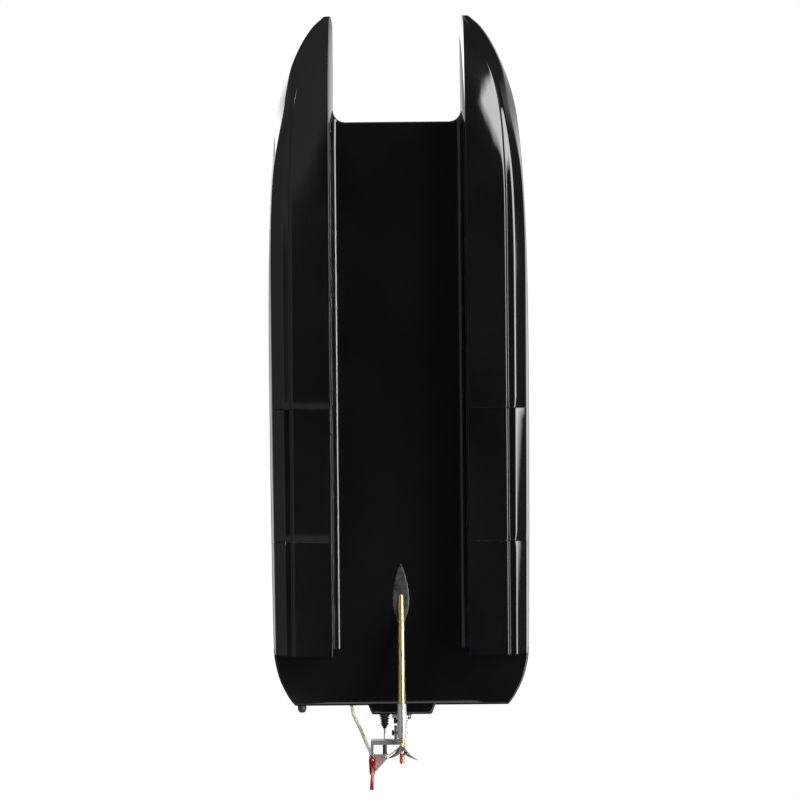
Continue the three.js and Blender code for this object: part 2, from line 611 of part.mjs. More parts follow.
function tillerPlate() {
  const shape = new THREE.Shape();
  shape.moveTo(2.2, 13.3);
  shape.lineTo(2.2, 3);
  shape.absarc(0, 0, YOKE.half, Math.PI / 3, Math.PI * 1.4);
  shape.lineTo(TILLER.reach, -2.8);
  shape.absarc(TILLER.reach, 0, 2.8, -Math.PI / 2, Math.PI / 4);
  shape.lineTo(3.3, 13.3);
  return cut(atPivot(shape, TILLER.z0, TILLER.z1), pivotBore(),
    rodZ(BALL_X, RUDDER.y, 30, 60, 0.86));
}

const ballStud = () => join(rodZ(BALL_X, RUDDER.y, 36.6, ROD.z + 3, 0.8),
  rodZ(BALL_X, RUDDER.y, TILLER.z1 + GAP, TILLER.z1 + 1.3, 2));

function rudderBlade() {
  const { x, front, back, tip, tangR } = RUDDER;
  const tang = new THREE.Shape();
  tang.moveTo(front, 10);
  tang.lineTo(front, KICK.z);
  tang.absarc(KICK.y, KICK.z, tangR, Math.PI, Math.PI * 0.3, true);
  tang.lineTo(SHOULDER.y0, SHOULDER.z);
  tang.lineTo(back, SHOULDER.z);
  tang.lineTo(back, 10);
  const wedge = polygon([[x - 0.35, front], [x + 0.35, front], [x + 1.9, back], [x - 1.9, back]]);
  return cut(
    join(sidePlate(tang, x - 1.5, x + 1.5, 8), plan(wedge, tip, 15)),
    rodX(KICK.y, KICK.z, x - 9, x + 9, KICK.pinR + PIN_FIT),
    rodZ(x, SHOULDER.nippleY, 26, 40, 1));
}

const rudderNipple = () => turned([[0, -3], [0.9, -3], [0.9, GAP], [1.8, GAP], [1.8, 1.3],
  [1.1, 1.3], [1.1, 5.2], [0, 5.2]], 12).rotateX(Math.PI / 2)
  .translate(RUDDER.x, SHOULDER.nippleY, SHOULDER.z);

// A headless pin, flush with the yoke's cheeks.
const kickPin = () => rodX(KICK.y, KICK.z, RUDDER.x - 2.8, RUDDER.x + 2.8, KICK.pinR);

function rodEnd() {
  const eye = rodZ(BALL_X, RUDDER.y, ROD.z - 2.1, ROD.z + 2.1, LINK_HOLE + 1.15, 20);
  const neck = rodY(BALL_X, ROD.z, 331, RUDDER.y - 2.4, 2.1, 12);
  return cut(join(eye, neck), rodZ(BALL_X, RUDDER.y, 30, 60, LINK_HOLE, 20),
    rodY(BALL_X, ROD.z, 325, 338, ROD.r + PIN_FIT));
}

const pushrod = () => join(rodY(BALL_X, ROD.z, SERVO.y - ROD.r, 337.5, ROD.r, 16),
  rodX(SERVO.y, ROD.z, SERVO.x1 + 1.2, BALL_X, 0.8, 16));

// The boot is a tube of four pleats that narrows to a neck round the rod.
function bellows() {
  const bore = 1.5;
  const start = POD.yEnd + GAP;
  const pleats = [0, 1, 2, 3].flatMap((i) => [
    [4 - 0.25 * i, start + 1 + 2.4 * i], [4.9 - 0.25 * i, start + 2.2 + 2.4 * i]]);
  const profile = [[bore, start], [5.2, start], [5.2, start + 0.8], ...pleats,
    [2.6, start + 10.8], [1.9, start + 13.8], [bore, start + 13.8], [bore, start]];
  return turned(profile, 16).translate(BALL_X, 0, ROD.z);
}

function servo() {
  const { x0, x1, y0, y1, y, z, half } = SERVO;
  const ears = box(x1 - 9, x1 - 6.6, y0 - 7, y1 + 7, z - half, z + half);
  return join(box(x0, x1, y0, y1, z - half, z + half), ears, rodX(y, z, x1 - 0.5, x1 + 1.6, 5.5));
}

function servoHorn() {
  const shape = new THREE.Shape();
  shape.absarc(SERVO.y, SERVO.z, 4.6, 0, Math.PI);
  shape.absarc(SERVO.y, ROD.z, 3.2, Math.PI, Math.PI * 2);
  const x = SERVO.x1 + 1.9;
  return cut(sidePlate(shape, x, x + 1.8, 10), rodX(SERVO.y, ROD.z, x - 5, x + 5, LINK_HOLE, 20));
}

function servoTray() {
  const { x0, x1, y0, y1, z, half } = SERVO;
  const posts = [[y0 - 8, y0 - 2.5], [y1 + 2.5, y1 + 8]].map(([a, b]) =>
    box(x1 - 6.3, x1 - 1, a, b, FLOOR + 1, z + half));
  return join(box(x0, x1 - 1, y0 - 8, y1 + 8, FLOOR, FLOOR + 2), ...posts);
}

// ---- electrics and cooling ----
const battery = () => plan(
  roundedRect(-BATTERY.half, BATTERY.half, BATTERY.y0, BATTERY.y1, 4), BATTERY.z0, BATTERY.z1, 3);

function batteryTray() {
  const { half, y0, y1 } = BATTERY;
  const lip = half + 3;
  return cut(box(-lip, lip, y0 - 4, y1 + 4, FLOOR, FLOOR + 8),
    box(-half - 1, half + 1, y0 - 2, y1 + 2, FLOOR + 1.6, FLOOR + 20));
}

function batteryStrap() {
  const out = BATTERY.half + 4.4;
  const inner = out - 1.1;
  const top = BATTERY.z1 + 1.4;
  return crossPlate(polygon([[-out, FLOOR], [-out, top], [out, top], [out, FLOOR],
    [inner, FLOOR], [inner, top - 1.1], [-inner, top - 1.1], [-inner, FLOOR]]), -118, -96);
}

const controller = () => plan(
  roundedRect(-ESC.half, ESC.half, ESC.y0, ESC.y1, 3), FLOOR, ESC.z1, 3);

const waterPlate = () => join(
  box(-ESC.half + 3, ESC.half - 3, ESC.y0 + 3, ESC.y1 - 3, ESC.z1 + GAP, ESC.z1 + 4.3),
  rodX(ESC.y1 - 11, ESC.z1 + 2.3, ESC.half - 4, ESC.half + 4, 1.2, 8),
  rodX(ESC.y0 + 11, ESC.z1 + 2.3, ESC.half - 4, ESC.half + 4, 1.2, 8));

const receiverBox = () => plan(roundedRect(18, 47, 130, 186, 3), FLOOR, 62, 3);
const powerConnector = () => box(-7, 7, -36, -26, 65, 73);

const motorLead = (x) => tube(
  [[x, 29.8, 71.5], [x, 27.4, 70.4], [x, 25.6, 65], [x, 25.2, 56], [x, 23.4, 52.3],
    [x, 20.5, 52]], LEAD_R, 0, 4, 10);
const batteryLead = () => tube(
  [[16, -39.6, 60], [16, -35, 60], [17, -31, 64], [13, -31, 69], [7.3, -31, 69]], 2, 0, 4, 12);
const controllerLead = () => tube(
  [[-16, -22.4, 52], [-16, -27, 52.5], [-18, -31, 60], [-14, -31, 69], [-7.3, -31, 69]],
  2, 0, 4, 12);

const hoseInlet = () => tube(
  [[INLET.x, 287.5, INLET.z], [-48, 282, 47.8], [-53, 250, 46], [-57, 200, 46], [-57, 130, 46],
    [-51.5, 94, 52], [-42, 64, 66], [-32, 55.8, 68.4], [-23.4, 54.8, 68.5]], HOSE_R, 0, 4, 24);
const hoseLink = () => tube(
  [[23.4, 68.6, 66.3], [32, 66, 66], [42, 52, 64], [46, 32, 61.5], [44, 16, 60.4],
    [38.5, 9.2, 60.3], [ESC.half + 4.4, ESC.y1 - 11, ESC.z1 + 2.3]], HOSE_R, 0, 4, 18);
const hoseOutlet = () => tube(
  [[ESC.half + 4.4, ESC.y0 + 11, ESC.z1 + 2.3], [39, -10.8, 60], [50, -6, 54.5], [60, 8, 49],
    [70, 40, 46.5], [84, 95, 45.5], [90.6, 128, 44.6], [91.8, 144, 44.8], [92, 149.2, 47.8],
    [OUTLET.x, OUTLET.y, 51.6]], HOSE_R, 0, 4, 24);

// The hose to the rudder is one length of silicone. It turns with the yoke where it passes over
// the pivot, so its two stretches meet there.
const HOSE_JOIN = [-30, 346, 56.5];
const rudderHoseFront = () => tube(
  [[INLET.x, STERN_Y + 6.4, INLET.z], [-47.3, 303, 48.1], [-45, 308.5, 48.8], [-40.2, 319, 51.5],
    [-35.2, 332, 55.2], [-31.7, 340, 56.7], HOSE_JOIN], HOSE_R, 0, 4, 14);
const rudderHoseBack = () => tube(
  [[-29.85, 346.5, 56.5], [-29.3, 348.8, 56.1], [-28.9, 353.6, 53.4], [-28.9, 358.2, 47.8],
    [-28.9, 360.3, 41.5],
    [RUDDER.x, SHOULDER.nippleY, SHOULDER.z + 5.6]], HOSE_R, 0, 4, 10);

const waterOutlet = () => turned([[0, -6], [2, -6], [2, 0.3], [4.4, 0.3], [4.4, 1.8], [2.4, 2.4],
  [2.2, 6.5], [0, 6.5]], 16).rotateX(Math.PI / 2).translate(OUTLET.x, OUTLET.y, DECK_Z);

function flotation(side) {
  const section = (y) => {
    const [, keel, crease, chine] = sponsonHollow(y);
    const top = PARTING_Z - 3;
    return [[keel[0] + 1, top], [keel[0] + 1, keel[1] + 1.5], [crease[0], crease[1] + 1.5],
      [chine[0] - 3, chine[1] + 0.5], [chine[0] - 3, top]];
  };
  const block = sections([-318, -295, -270, -245, -220], section);
  return loft(side > 0 ? block : mirrored(block));
}

// ---- the boat ----
const boat = new THREE.Group();
boat.position.set(0, BOAT_SHIFT_Y, KEEL_HEIGHT);
const drive = new THREE.Group();
const motor = new THREE.Group();
motor.position.set(...MOTOR_START);
motor.rotation.x = -THREE.MathUtils.degToRad(MOTOR_TILT);
drive.add(motor);
const steering = new THREE.Group();
const electrics = new THREE.Group();
boat.add(drive, steering, electrics);

function piece(group, name, geometry, material) {
  const mesh = new THREE.Mesh(geometry, material);
  mesh.name = name;
  group.add(mesh);
}

piece(boat, 'hull_bottom', hullBottom(), BLACK_GELCOAT);
piece(boat, 'deck', deckMain(), WHITE_GELCOAT);
piece(boat, 'deck_front', deckFront(), WHITE_GELCOAT);
piece(boat, 'canopy', canopy(), RED_GELCOAT);
piece(boat, 'canopy_seal', canopySeal(), RUBBER);
piece(boat, 'drain_plug', drainPlug(), RUBBER);
piece(boat, 'water_inlet', stern(nipple(), INLET.x, INLET.z), BRASS);
piece(boat, 'water_outlet', waterOutlet(), ALUMINIUM);
piece(boat, 'tube_fairing', tubeFairing(), RESIN);
piece(boat, 'flotation_port', flotation(1), FOAM);
piece(boat, 'flotation_starboard', flotation(-1), FOAM);

piece(drive, 'stuffing_tube', tube(TUBE_ROUTE, TUBE_R, TUBE_BORE, 6, 16), BRASS);
piece(drive, 'flex_shaft', tube([[0, 108, 60.1], ...TUBE_ROUTE], FLEX_R, 0, 4, 18), STEEL);
piece(drive, 'strut', strut(), ALUMINIUM);
piece(drive, 'strut_bushing', onShaft(ring(2.5, SHAFT_R + PIN_FIT, 300, 321)), BRASS);
piece(drive, 'strut_bracket', strutBracket(), ALUMINIUM);
piece(drive, 'clamp_screw_upper', clampScrew(CLAMP[0]), BLACK_STEEL);
piece(drive, 'clamp_screw_lower', clampScrew(CLAMP[1]), BLACK_STEEL);
piece(drive, 'prop_shaft', rodY(0, SHAFT_Z, 290, 347, SHAFT_R), STEEL);
piece(drive, 'drive_dog', driveDog(), BRASS);
piece(drive, 'propeller', propeller(), STEEL);
piece(drive, 'prop_nut', propNut(), COPPER);

piece(motor, 'motor_can', ring(MOTOR.r, MOTOR.r - MOTOR.wall, -MOTOR.s1, -MOTOR.s0, 28),
  BLACK_STEEL);
piece(motor, 'motor_stator', motorStator(), STEEL);
piece(motor, 'motor_rotor', motorRotor(), STEEL);
piece(motor, 'motor_front_bell', ring(MOTOR.r, MOTOR_SHAFT_R + 0.2, -88, -MOTOR.s1 - GAP, 28),
  ALUMINIUM);
piece(motor, 'water_jacket', waterJacket(), RED_ANODISE);
piece(motor, 'shaft_coupler',
  ring(COUPLER.r, MOTOR_SHAFT_R + PIN_FIT, -COUPLER.s1, -COUPLER.s0), BRASS);
piece(drive, 'motor_mount', motorMount(), ALUMINIUM);

piece(steering, 'rudder_bracket', rudderBracket(), DARK_ALUMINIUM);
piece(steering, 'rudder_pivot_pin', pivotPin(), STEEL);
piece(steering, 'rudder_yoke', rudderYoke(), RED_ANODISE);
piece(steering, 'tiller_plate', tillerPlate(), ALUMINIUM);
piece(steering, 'tiller_ball_stud', ballStud(), STEEL);
piece(steering, 'rudder_blade', rudderBlade(), RED_ANODISE);
piece(steering, 'rudder_nipple', rudderNipple(), BRASS);
piece(steering, 'kick_pin', kickPin(), STEEL);
piece(steering, 'pushrod', pushrod(), STEEL);
piece(steering, 'rod_end', rodEnd(), BLACK_PLASTIC);
piece(steering, 'bellows', bellows(), RUBBER);
piece(steering, 'servo', servo(), BLACK_PLASTIC);
piece(steering, 'servo_horn', servoHorn(), ALUMINIUM);
piece(steering, 'servo_tray', servoTray(), PLY);
piece(steering, 'rudder_hose_front', rudderHoseFront(), SILICONE);
piece(steering, 'rudder_hose_back', rudderHoseBack(), SILICONE);

piece(electrics, 'battery', battery(), BLUE_SHRINK);
piece(electrics, 'battery_tray', batteryTray(), PLY);
piece(electrics, 'battery_strap', batteryStrap(), WEBBING);
piece(electrics, 'speed_controller', controller(), BLACK_PLASTIC);
piece(electrics, 'controller_water_plate', waterPlate(), RED_ANODISE);
piece(electrics, 'receiver_box', receiverBox(), GREY_PLASTIC);
piece(electrics, 'power_connector', powerConnector(), GREY_PLASTIC);
[-8, 0, 8].forEach((x, i) => {
  piece(electrics, `motor_lead_${i + 1}`, motorLead(x), RUBBER);
});
piece(electrics, 'battery_lead', batteryLead(), RUBBER);
piece(electrics, 'controller_lead', controllerLead(), RUBBER);
piece(electrics, 'hose_inlet', hoseInlet(), SILICONE);
piece(electrics, 'hose_link', hoseLink(), SILICONE);
piece(electrics, 'hose_outlet', hoseOutlet(), SILICONE);

export default boat;
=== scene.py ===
"""Looks of the radio-control catamaran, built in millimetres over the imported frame."""
import json
import math

import bmesh
import bpy
from mathutils import Matrix, Vector

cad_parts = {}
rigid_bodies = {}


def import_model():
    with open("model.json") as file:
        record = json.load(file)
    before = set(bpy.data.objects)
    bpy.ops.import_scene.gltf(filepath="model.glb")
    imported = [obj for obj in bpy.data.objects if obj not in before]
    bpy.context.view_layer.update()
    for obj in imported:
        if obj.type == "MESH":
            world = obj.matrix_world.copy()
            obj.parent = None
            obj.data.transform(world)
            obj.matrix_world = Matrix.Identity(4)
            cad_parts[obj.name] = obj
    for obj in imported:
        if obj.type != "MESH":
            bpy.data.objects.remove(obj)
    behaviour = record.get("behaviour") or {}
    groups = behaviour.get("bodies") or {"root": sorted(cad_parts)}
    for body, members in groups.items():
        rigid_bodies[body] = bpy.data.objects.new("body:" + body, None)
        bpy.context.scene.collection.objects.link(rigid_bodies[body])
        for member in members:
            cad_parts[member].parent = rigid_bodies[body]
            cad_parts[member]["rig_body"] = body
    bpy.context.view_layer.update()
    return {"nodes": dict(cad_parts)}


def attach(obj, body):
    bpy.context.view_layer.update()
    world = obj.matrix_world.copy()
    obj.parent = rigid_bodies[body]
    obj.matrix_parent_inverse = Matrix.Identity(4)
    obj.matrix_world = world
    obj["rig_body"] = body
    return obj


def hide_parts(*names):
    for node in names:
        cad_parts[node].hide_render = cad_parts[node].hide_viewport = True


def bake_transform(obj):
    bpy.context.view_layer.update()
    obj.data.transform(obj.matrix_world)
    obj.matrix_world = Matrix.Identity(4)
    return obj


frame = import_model()
NODES = frame["nodes"]

# ---- the frame's own dimensions, in millimetres: x to port, y aft, z above the keel ----
KEEL_LIFT = 38
SHIFT_Y = 6.15
BOW_Y = -375
STERN_Y = 294
SPONSON_END_Y = 242
SHELF_Y = 238.5
TUNNEL_FRONT_Y = -272
TUNNEL_HALF = 61.8
TUNNEL_CORNER_R = 11.6
ROOF_Z = 40
PARTING_Z = 46
DECK_Z = 58
SHAFT_Z = 14
SHAFT_BORE = 1.66
STEPS = (6.7, 134)
BAY = (-54, 54, -217, 222, 3)
FLANGE = (-60, 60, -226, 233, 16)
CANOPY_Z = 59.7
TUBE_ROUTE = [(0, 117, 58.7), (0, 150, 51.8), (0, 183, 43.3), (0, 215, 34.5), (0, 245, 25),
              (0, 268, 17.4), (0, 281, 14.4), (0, 288.7, 14)]
ROD_X = -16.9
ROD_Z = 47
# How far the hull's sides stay inside the deck's edge.
LIP = 0.8


def row(point):
    """A point in the row frame, in metres."""
    return Vector((point[0], point[1] + SHIFT_Y, point[2] + KEEL_LIFT)) / 1000


# ---- node helpers: each adds one node to a tree and gives its output ----
def axes(tree, kind="Object"):
    place = tree.nodes.new("ShaderNodeTexCoord")
    split = tree.nodes.new("ShaderNodeSeparateXYZ")
    tree.links.new(place.outputs[kind], split.inputs[0])
    return split.outputs


def maths(tree, operation, *values):
    node = tree.nodes.new("ShaderNodeMath")
    node.operation = operation
    for socket, value in zip(node.inputs, values):
        if isinstance(value, (int, float)):
            socket.default_value = value
        else:
            tree.links.new(value, socket)
    return node.outputs[0]


def stretched(tree, value, low, high, out_low=0, out_high=1):
    node = tree.nodes.new("ShaderNodeMapRange")
    for key, number in (("From Min", low), ("From Max", high), ("To Min", out_low),
                        ("To Max", out_high)):
        node.inputs[key].default_value = number
    tree.links.new(value, node.inputs["Value"])
    return node.outputs["Result"]


def mixed(tree, factor, first, second):
    node = tree.nodes.new("ShaderNodeMix")
    node.data_type = "RGBA"
    tree.links.new(factor, node.inputs["Factor"])
    for socket, colour in ((6, first), (7, second)):
        if isinstance(colour, tuple):
            node.inputs[socket].default_value = (*colour, 1)
        else:
            tree.links.new(colour, node.inputs[socket])
    return node.outputs[2]


def grey_ramp(tree, value, stops):
    """A grey level for each direction's height, from -1 straight down to 1 straight up."""
    node = tree.nodes.new("ShaderNodeValToRGB")
    elements = node.color_ramp.elements
    while len(elements) < len(stops):
        elements.new(0.5)
    for element, (height, level) in zip(elements, stops):
        element.position = (height + 1) / 2
        element.color = (level, level, level, 1)
    tree.links.new(value, node.inputs["Fac"])
    return node.outputs["Color"]


# ---- camera, floor and light ----
def aim(obj, target):
    away = obj.location - Vector(target)
    obj.rotation_mode = "QUATERNION"
    obj.rotation_quaternion = away.to_track_quat("Z", "Y")


def make_camera():
    """Straight below the boat, looking up, with the bow at the top of the picture."""
    roll = math.radians(0.51)
    right = Vector((math.cos(roll), math.sin(roll), 0))
    up = Vector((math.sin(roll), -math.cos(roll), 0))
    back = Vector((0, 0, -1))
    data = bpy.data.cameras.new("camera")
    data.sensor_width = 36
    data.lens = 104
    camera = bpy.data.objects.new("camera", data)
    turn = Matrix((right, up, back)).transposed().to_4x4()
    camera.matrix_world = Matrix.Translation((0.0008, 0.00425, -2.162)) @ turn
    bpy.context.scene.collection.objects.link(camera)
    bpy.context.scene.camera = camera


def softbox(name, place, target, size, power):
    data = bpy.data.lights.new(name, "AREA")
    data.shape = "RECTANGLE"
    data.size, data.size_y = size
    data.energy = power
    light = bpy.data.objects.new(name, data)
    light.location = place
    aim(light, target)
    light.visible_camera = False
    bpy.context.scene.collection.objects.link(light)


def make_world():
    """White behind the object. Round it, a dim room with a bright bank low on the port side."""
    world = bpy.data.worlds.new("studio")
    bpy.context.scene.world = world
    world.use_nodes = True
    tree = world.node_tree
    tree.nodes.clear()
    x, y, z = axes(tree, "Generated")
    height = stretched(tree, z, -1, 1)
    starboard = grey_ramp(tree, height, [
        (-1, 0.05), (-0.93, 0.08), (-0.87, 0.45), (-0.6, 0.4), (0, 0.3), (0.35, 0.2), (0.9, 0.25),
        (1, 0.5)])
    port = grey_ramp(tree, height, [
        (-1, 0.05), (-0.86, 0.06), (-0.6, 0.2), (-0.25, 0.1), (0.3, 0.1), (0.5, 0.6), (0.7, 1),
        (1, 0.8)])
    room = mixed(tree, stretched(tree, x, -0.30, -0.10), starboard, port)
    room = mixed(tree, stretched(tree, y, 0.35, 0.8), room, (0.03, 0.03, 0.03))
    over = stretched(tree, z, -0.78, -0.72)
    under = stretched(tree, maths(tree, "MULTIPLY_ADD", y, 0.45, z), -0.52, -0.40, 1, 0)
    beside = stretched(tree, maths(tree, "ADD", x, y), 0.0, 0.06, 0, 13)
    bank = maths(tree, "MULTIPLY", maths(tree, "MULTIPLY", over, under), beside)
    total = tree.nodes.new("ShaderNodeVectorMath")
    total.operation = "ADD"
    tree.links.new(room, total.inputs[0])
    tree.links.new(bank, total.inputs[1])
    soft = grey_ramp(tree, height, [
        (-1, 0.25), (-0.6, 0.4), (-0.28, 0.75), (0, 1), (0.3, 1), (0.5, 1), (0.8, 0.9), (1, 0.8)])
    path = tree.nodes.new("ShaderNodeLightPath")
    seen = mixed(tree, path.outputs["Is Diffuse Ray"], total.outputs[0], soft)
    seen = mixed(tree, path.outputs["Is Camera Ray"], seen, (1, 1, 1))
    background = tree.nodes.new("ShaderNodeBackground")
    output = tree.nodes.new("ShaderNodeOutputWorld")
    tree.links.new(seen, background.inputs["Color"])
    tree.links.new(background.outputs[0], output.inputs["Surface"])


def stage_material():
    """Pale and matt from above. From below it can't be seen, and it stops no light."""
    mat = bpy.data.materials.new("stage_pale")
    mat.use_nodes = True
    tree = mat.node_tree
    tree.nodes.clear()
    path = tree.nodes.new("ShaderNodeLightPath")
    side = tree.nodes.new("ShaderNodeNewGeometry")
    front = maths(tree, "SUBTRACT", 1, side.outputs["Backfacing"])
    shown = maths(tree, "MULTIPLY", path.outputs["Is Camera Ray"], front)
    clear = tree.nodes.new("ShaderNodeBsdfTransparent")
    matt = tree.nodes.new("ShaderNodeBsdfDiffuse")
    matt.inputs["Color"].default_value = (0.86, 0.86, 0.85, 1)
    mix = tree.nodes.new("ShaderNodeMixShader")
    output = tree.nodes.new("ShaderNodeOutputMaterial")
    for socket, source in zip(mix.inputs, (shown, clear.outputs[0], matt.outputs[0])):
        tree.links.new(source, socket)
    tree.links.new(mix.outputs[0], output.inputs["Surface"])
    return mat


def make_stage():
    """A floor, and a low open block under the sponsons that leaves the rudder hanging free."""
    pale = stage_material()
    reach, base, x, front, back, top = 8, -0.0005, 0.105, -0.17, 0.235, 0.0375
    floor = bpy.data.meshes.new("floor")
    corners = ((-reach, -reach), (reach, -reach), (reach, reach), (-reach, reach))
    floor.from_pydata([(a, b, base) for a, b in corners], [], [(0, 1, 2, 3)])
    block = bpy.data.meshes.new("block")
    block.from_pydata([(a, b, z) for z in (base, top)
                       for a, b in ((-x, front), (x, front), (x, back), (-x, back))], [],
                      [(4, 5, 6, 7), (0, 1, 5, 4), (1, 2, 6, 5), (2, 3, 7, 6), (3, 0, 4, 7)])
    for mesh in (floor, block):
        mesh.materials.append(pale)
        obj = bpy.data.objects.new(mesh.name, mesh)
        bpy.context.scene.collection.objects.link(obj)


make_camera()
make_world()
make_stage()
bpy.context.scene.view_settings.view_transform = "Standard"
softbox("key_above", (-1.1, -1.3, 2.2), (0, 0, 0.05), (1.6, 1.6), 26)
softbox("fill_above", (1.6, 0.9, 1.3), (0, 0, 0.05), (1.2, 1.2), 9)
softbox("stern_below", (-0.05, 1.3, -1.8), (-0.02, 0.34, 0.05), (0.9, 0.5), 2.6)


# ---- materials: every one is procedural, in the object's own coordinates ----
def noise(tree, scale, detail, stretch, offset=0.0):
    place = tree.nodes.new("ShaderNodeTexCoord")
    mapping = tree.nodes.new("ShaderNodeMapping")
    mapping.inputs["Scale"].default_value = stretch
    mapping.inputs["Location"].default_value = (offset, offset, offset)
    texture = tree.nodes.new("ShaderNodeTexNoise")
    texture.inputs["Scale"].default_value = scale
    texture.inputs["Detail"].default_value = detail
    tree.links.new(place.outputs["Object"], mapping.inputs["Vector"])
    tree.links.new(mapping.outputs["Vector"], texture.inputs["Vector"])
    return texture.outputs["Fac"]


def surface(name, dark, light, rough, metallic=0.0, scale=60.0, stretch=(1, 1, 1), grain=900.0,
            bump=0.08, scratches=0.0, **fixed):
    """A principled material whose colour, roughness and relief vary; fixed sets single sockets."""
    mat = bpy.data.materials.new(name)
    mat.use_nodes = True
    tree = mat.node_tree
    shader = tree.nodes["Principled BSDF"]
    shader.inputs["Metallic"].default_value = metallic
    for key, value in fixed.items():
        shader.inputs[key.replace("_", " ")].default_value = value
    cloud = noise(tree, scale, 5, stretch)
    colour = mixed(tree, stretched(tree, cloud, 0.35, 0.65), dark, light)
    tree.links.new(colour, shader.inputs["Base Color"])
    wear = stretched(tree, noise(tree, scale * 2.3, 6, stretch, 3.1), 0.3, 0.7, *rough)
    if scratches:
        fine = stretched(tree, noise(tree, 240, 2, (9, 0.5, 9), 7.7), 0.62, 0.70, 0, scratches)
        wear = maths(tree, "ADD", wear, fine)
        wear.node.use_clamp = True
    tree.links.new(wear, shader.inputs["Roughness"])
    relief = tree.nodes.new("ShaderNodeBump")
    relief.inputs["Strength"].default_value = bump
    relief.inputs["Distance"].default_value = 0.0004
    tree.links.new(noise(tree, grain, 3, stretch, 1.3), relief.inputs["Height"])
    tree.links.new(relief.outputs["Normal"], shader.inputs["Normal"])
    return mat


BLACK = surface("black_gelcoat", (0.0012, 0.0013, 0.0017), (0.0028, 0.003, 0.0036), (0.03, 0.08),
                scale=9, grain=130, bump=0.015, scratches=0.08)
RUBBER = surface("black_rubber", (0.012, 0.012, 0.012), (0.022, 0.022, 0.021), (0.45, 0.7),
                 scale=120, bump=0.2)
BRASS = surface("drawn_brass", (0.60, 0.46, 0.19), (0.70, 0.56, 0.27), (0.24, 0.34), 1.0,
                scale=70, stretch=(1, 0.06, 1), grain=300, bump=0.015)
COPPER = surface("copper_nut", (0.26, 0.14, 0.09), (0.38, 0.22, 0.15), (0.25, 0.45), 1.0, 200)
ALUMINIUM = surface("machined_aluminium", (0.66, 0.67, 0.69), (0.76, 0.77, 0.79), (0.24, 0.36),
                    1.0, scale=120, stretch=(1, 0.2, 1), grain=500, bump=0.03)
GREY_ANODISE = surface("grey_anodise", (0.26, 0.26, 0.27), (0.36, 0.36, 0.37), (0.3, 0.45),
                       0.9, scale=260, bump=0.08)
RED_ANODISE = surface("red_anodise", (0.36, 0.012, 0.010), (0.52, 0.03, 0.02), (0.22, 0.38),
                      0.75, scale=260, bump=0.12)
RED_FIN = surface("red_fin", (0.30, 0.03, 0.022), (0.40, 0.06, 0.04), (0.25, 0.42), 0.7,
                  scale=220, bump=0.1)
STEEL = surface("ground_steel", (0.48, 0.48, 0.50), (0.66, 0.67, 0.69), (0.15, 0.35), 1.0,
                scale=240, bump=0.08)
BLACK_STEEL = surface("black_oxide", (0.012, 0.012, 0.014), (0.03, 0.03, 0.033), (0.32, 0.5),
                      0.6, scale=300, bump=0.1)
BLACK_PLASTIC = surface("moulded_black", (0.014, 0.014, 0.015), (0.024, 0.024, 0.025),
                        (0.38, 0.55), scale=200, bump=0.15)
GREY_PLASTIC = surface("moulded_grey", (0.07, 0.075, 0.08), (0.10, 0.105, 0.11), (0.4, 0.6),
                       scale=200, bump=0.15)
SHRINK = surface("blue_shrink", (0.010, 0.035, 0.13), (0.02, 0.055, 0.19), (0.22, 0.38),
                 scale=70, bump=0.15)
SILICONE = surface("silicone_hose", (0.52, 0.49, 0.40), (0.60, 0.57, 0.48), (0.22, 0.32),
                   scale=40, grain=200, bump=0.01, Subsurface_Weight=0.3,
                   Subsurface_Radius=(1, 0.85, 0.6), Subsurface_Scale=0.003)
RESIN = surface("filled_resin", (0.012, 0.012, 0.013), (0.05, 0.05, 0.052), (0.18, 0.5),
                scale=190, grain=420, bump=0.55)
FOAM = surface("flotation_foam", (0.62, 0.61, 0.55), (0.78, 0.77, 0.70), (0.8, 0.95), scale=400,
               grain=500, bump=0.7)
WEBBING = surface("woven_strap", (0.010, 0.010, 0.011), (0.035, 0.035, 0.037), (0.75, 0.95),
                  scale=1400, bump=0.8)
PLY = surface("birch_ply", (0.36, 0.22, 0.10), (0.58, 0.41, 0.22), (0.4, 0.6), scale=60,
              stretch=(8, 0.6, 8), bump=0.2)
CABLE = surface("wire_insulation", (0.012, 0.012, 0.012), (0.02, 0.02, 0.02), (0.35, 0.5),
                scale=200, bump=0.1)
PROP_METAL = surface("cast_propeller", (0.30, 0.27, 0.25), (0.58, 0.57, 0.56), (0.16, 0.34), 1.0,
                     scale=60, grain=500, bump=0.04)
STUD_METAL = surface("polished_ball", (0.62, 0.55, 0.53), (0.80, 0.74, 0.72), (0.12, 0.25), 0.9,
                     scale=300, bump=0.04)


# ---- mesh helpers ----
def add_object(name, mesh, material, body, nodes=()):
    """Puts a mesh in the scene, on its body, in place of the nodes it stands for."""
    mesh.materials.append(material)
    obj = bpy.data.objects.new(name, mesh)
    bpy.context.scene.collection.objects.link(obj)
    if body:
        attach(obj, body)
    if nodes:
        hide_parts(*nodes)
    return obj


def smooth(mesh, angle=38):
    mesh.shade_smooth()
    mesh.set_sharp_from_angle(angle=math.radians(angle))


def bevelled(obj, width, angle=30, segments=3):
    modifier = obj.modifiers.new("edges", "BEVEL")
    modifier.width = width / 1000
    modifier.segments = segments
    modifier.limit_method = "ANGLE"
    modifier.angle_limit = math.radians(angle)
    modifier.use_clamp_overlap = True


def build(name, points, faces, material, body, nodes=(), angle=38):
    """A piece from points in millimetres and faces, its normals turned outwards."""
    mesh = bpy.data.meshes.new(name)
    mesh.from_pydata([row(p) for p in points], [], faces)
    work = bmesh.new()
    work.from_mesh(mesh)
    bmesh.ops.recalc_face_normals(work, faces=work.faces)
    work.to_mesh(mesh)
    work.free()
    smooth(mesh, angle)
    return add_object(name, mesh, material, body, nodes)


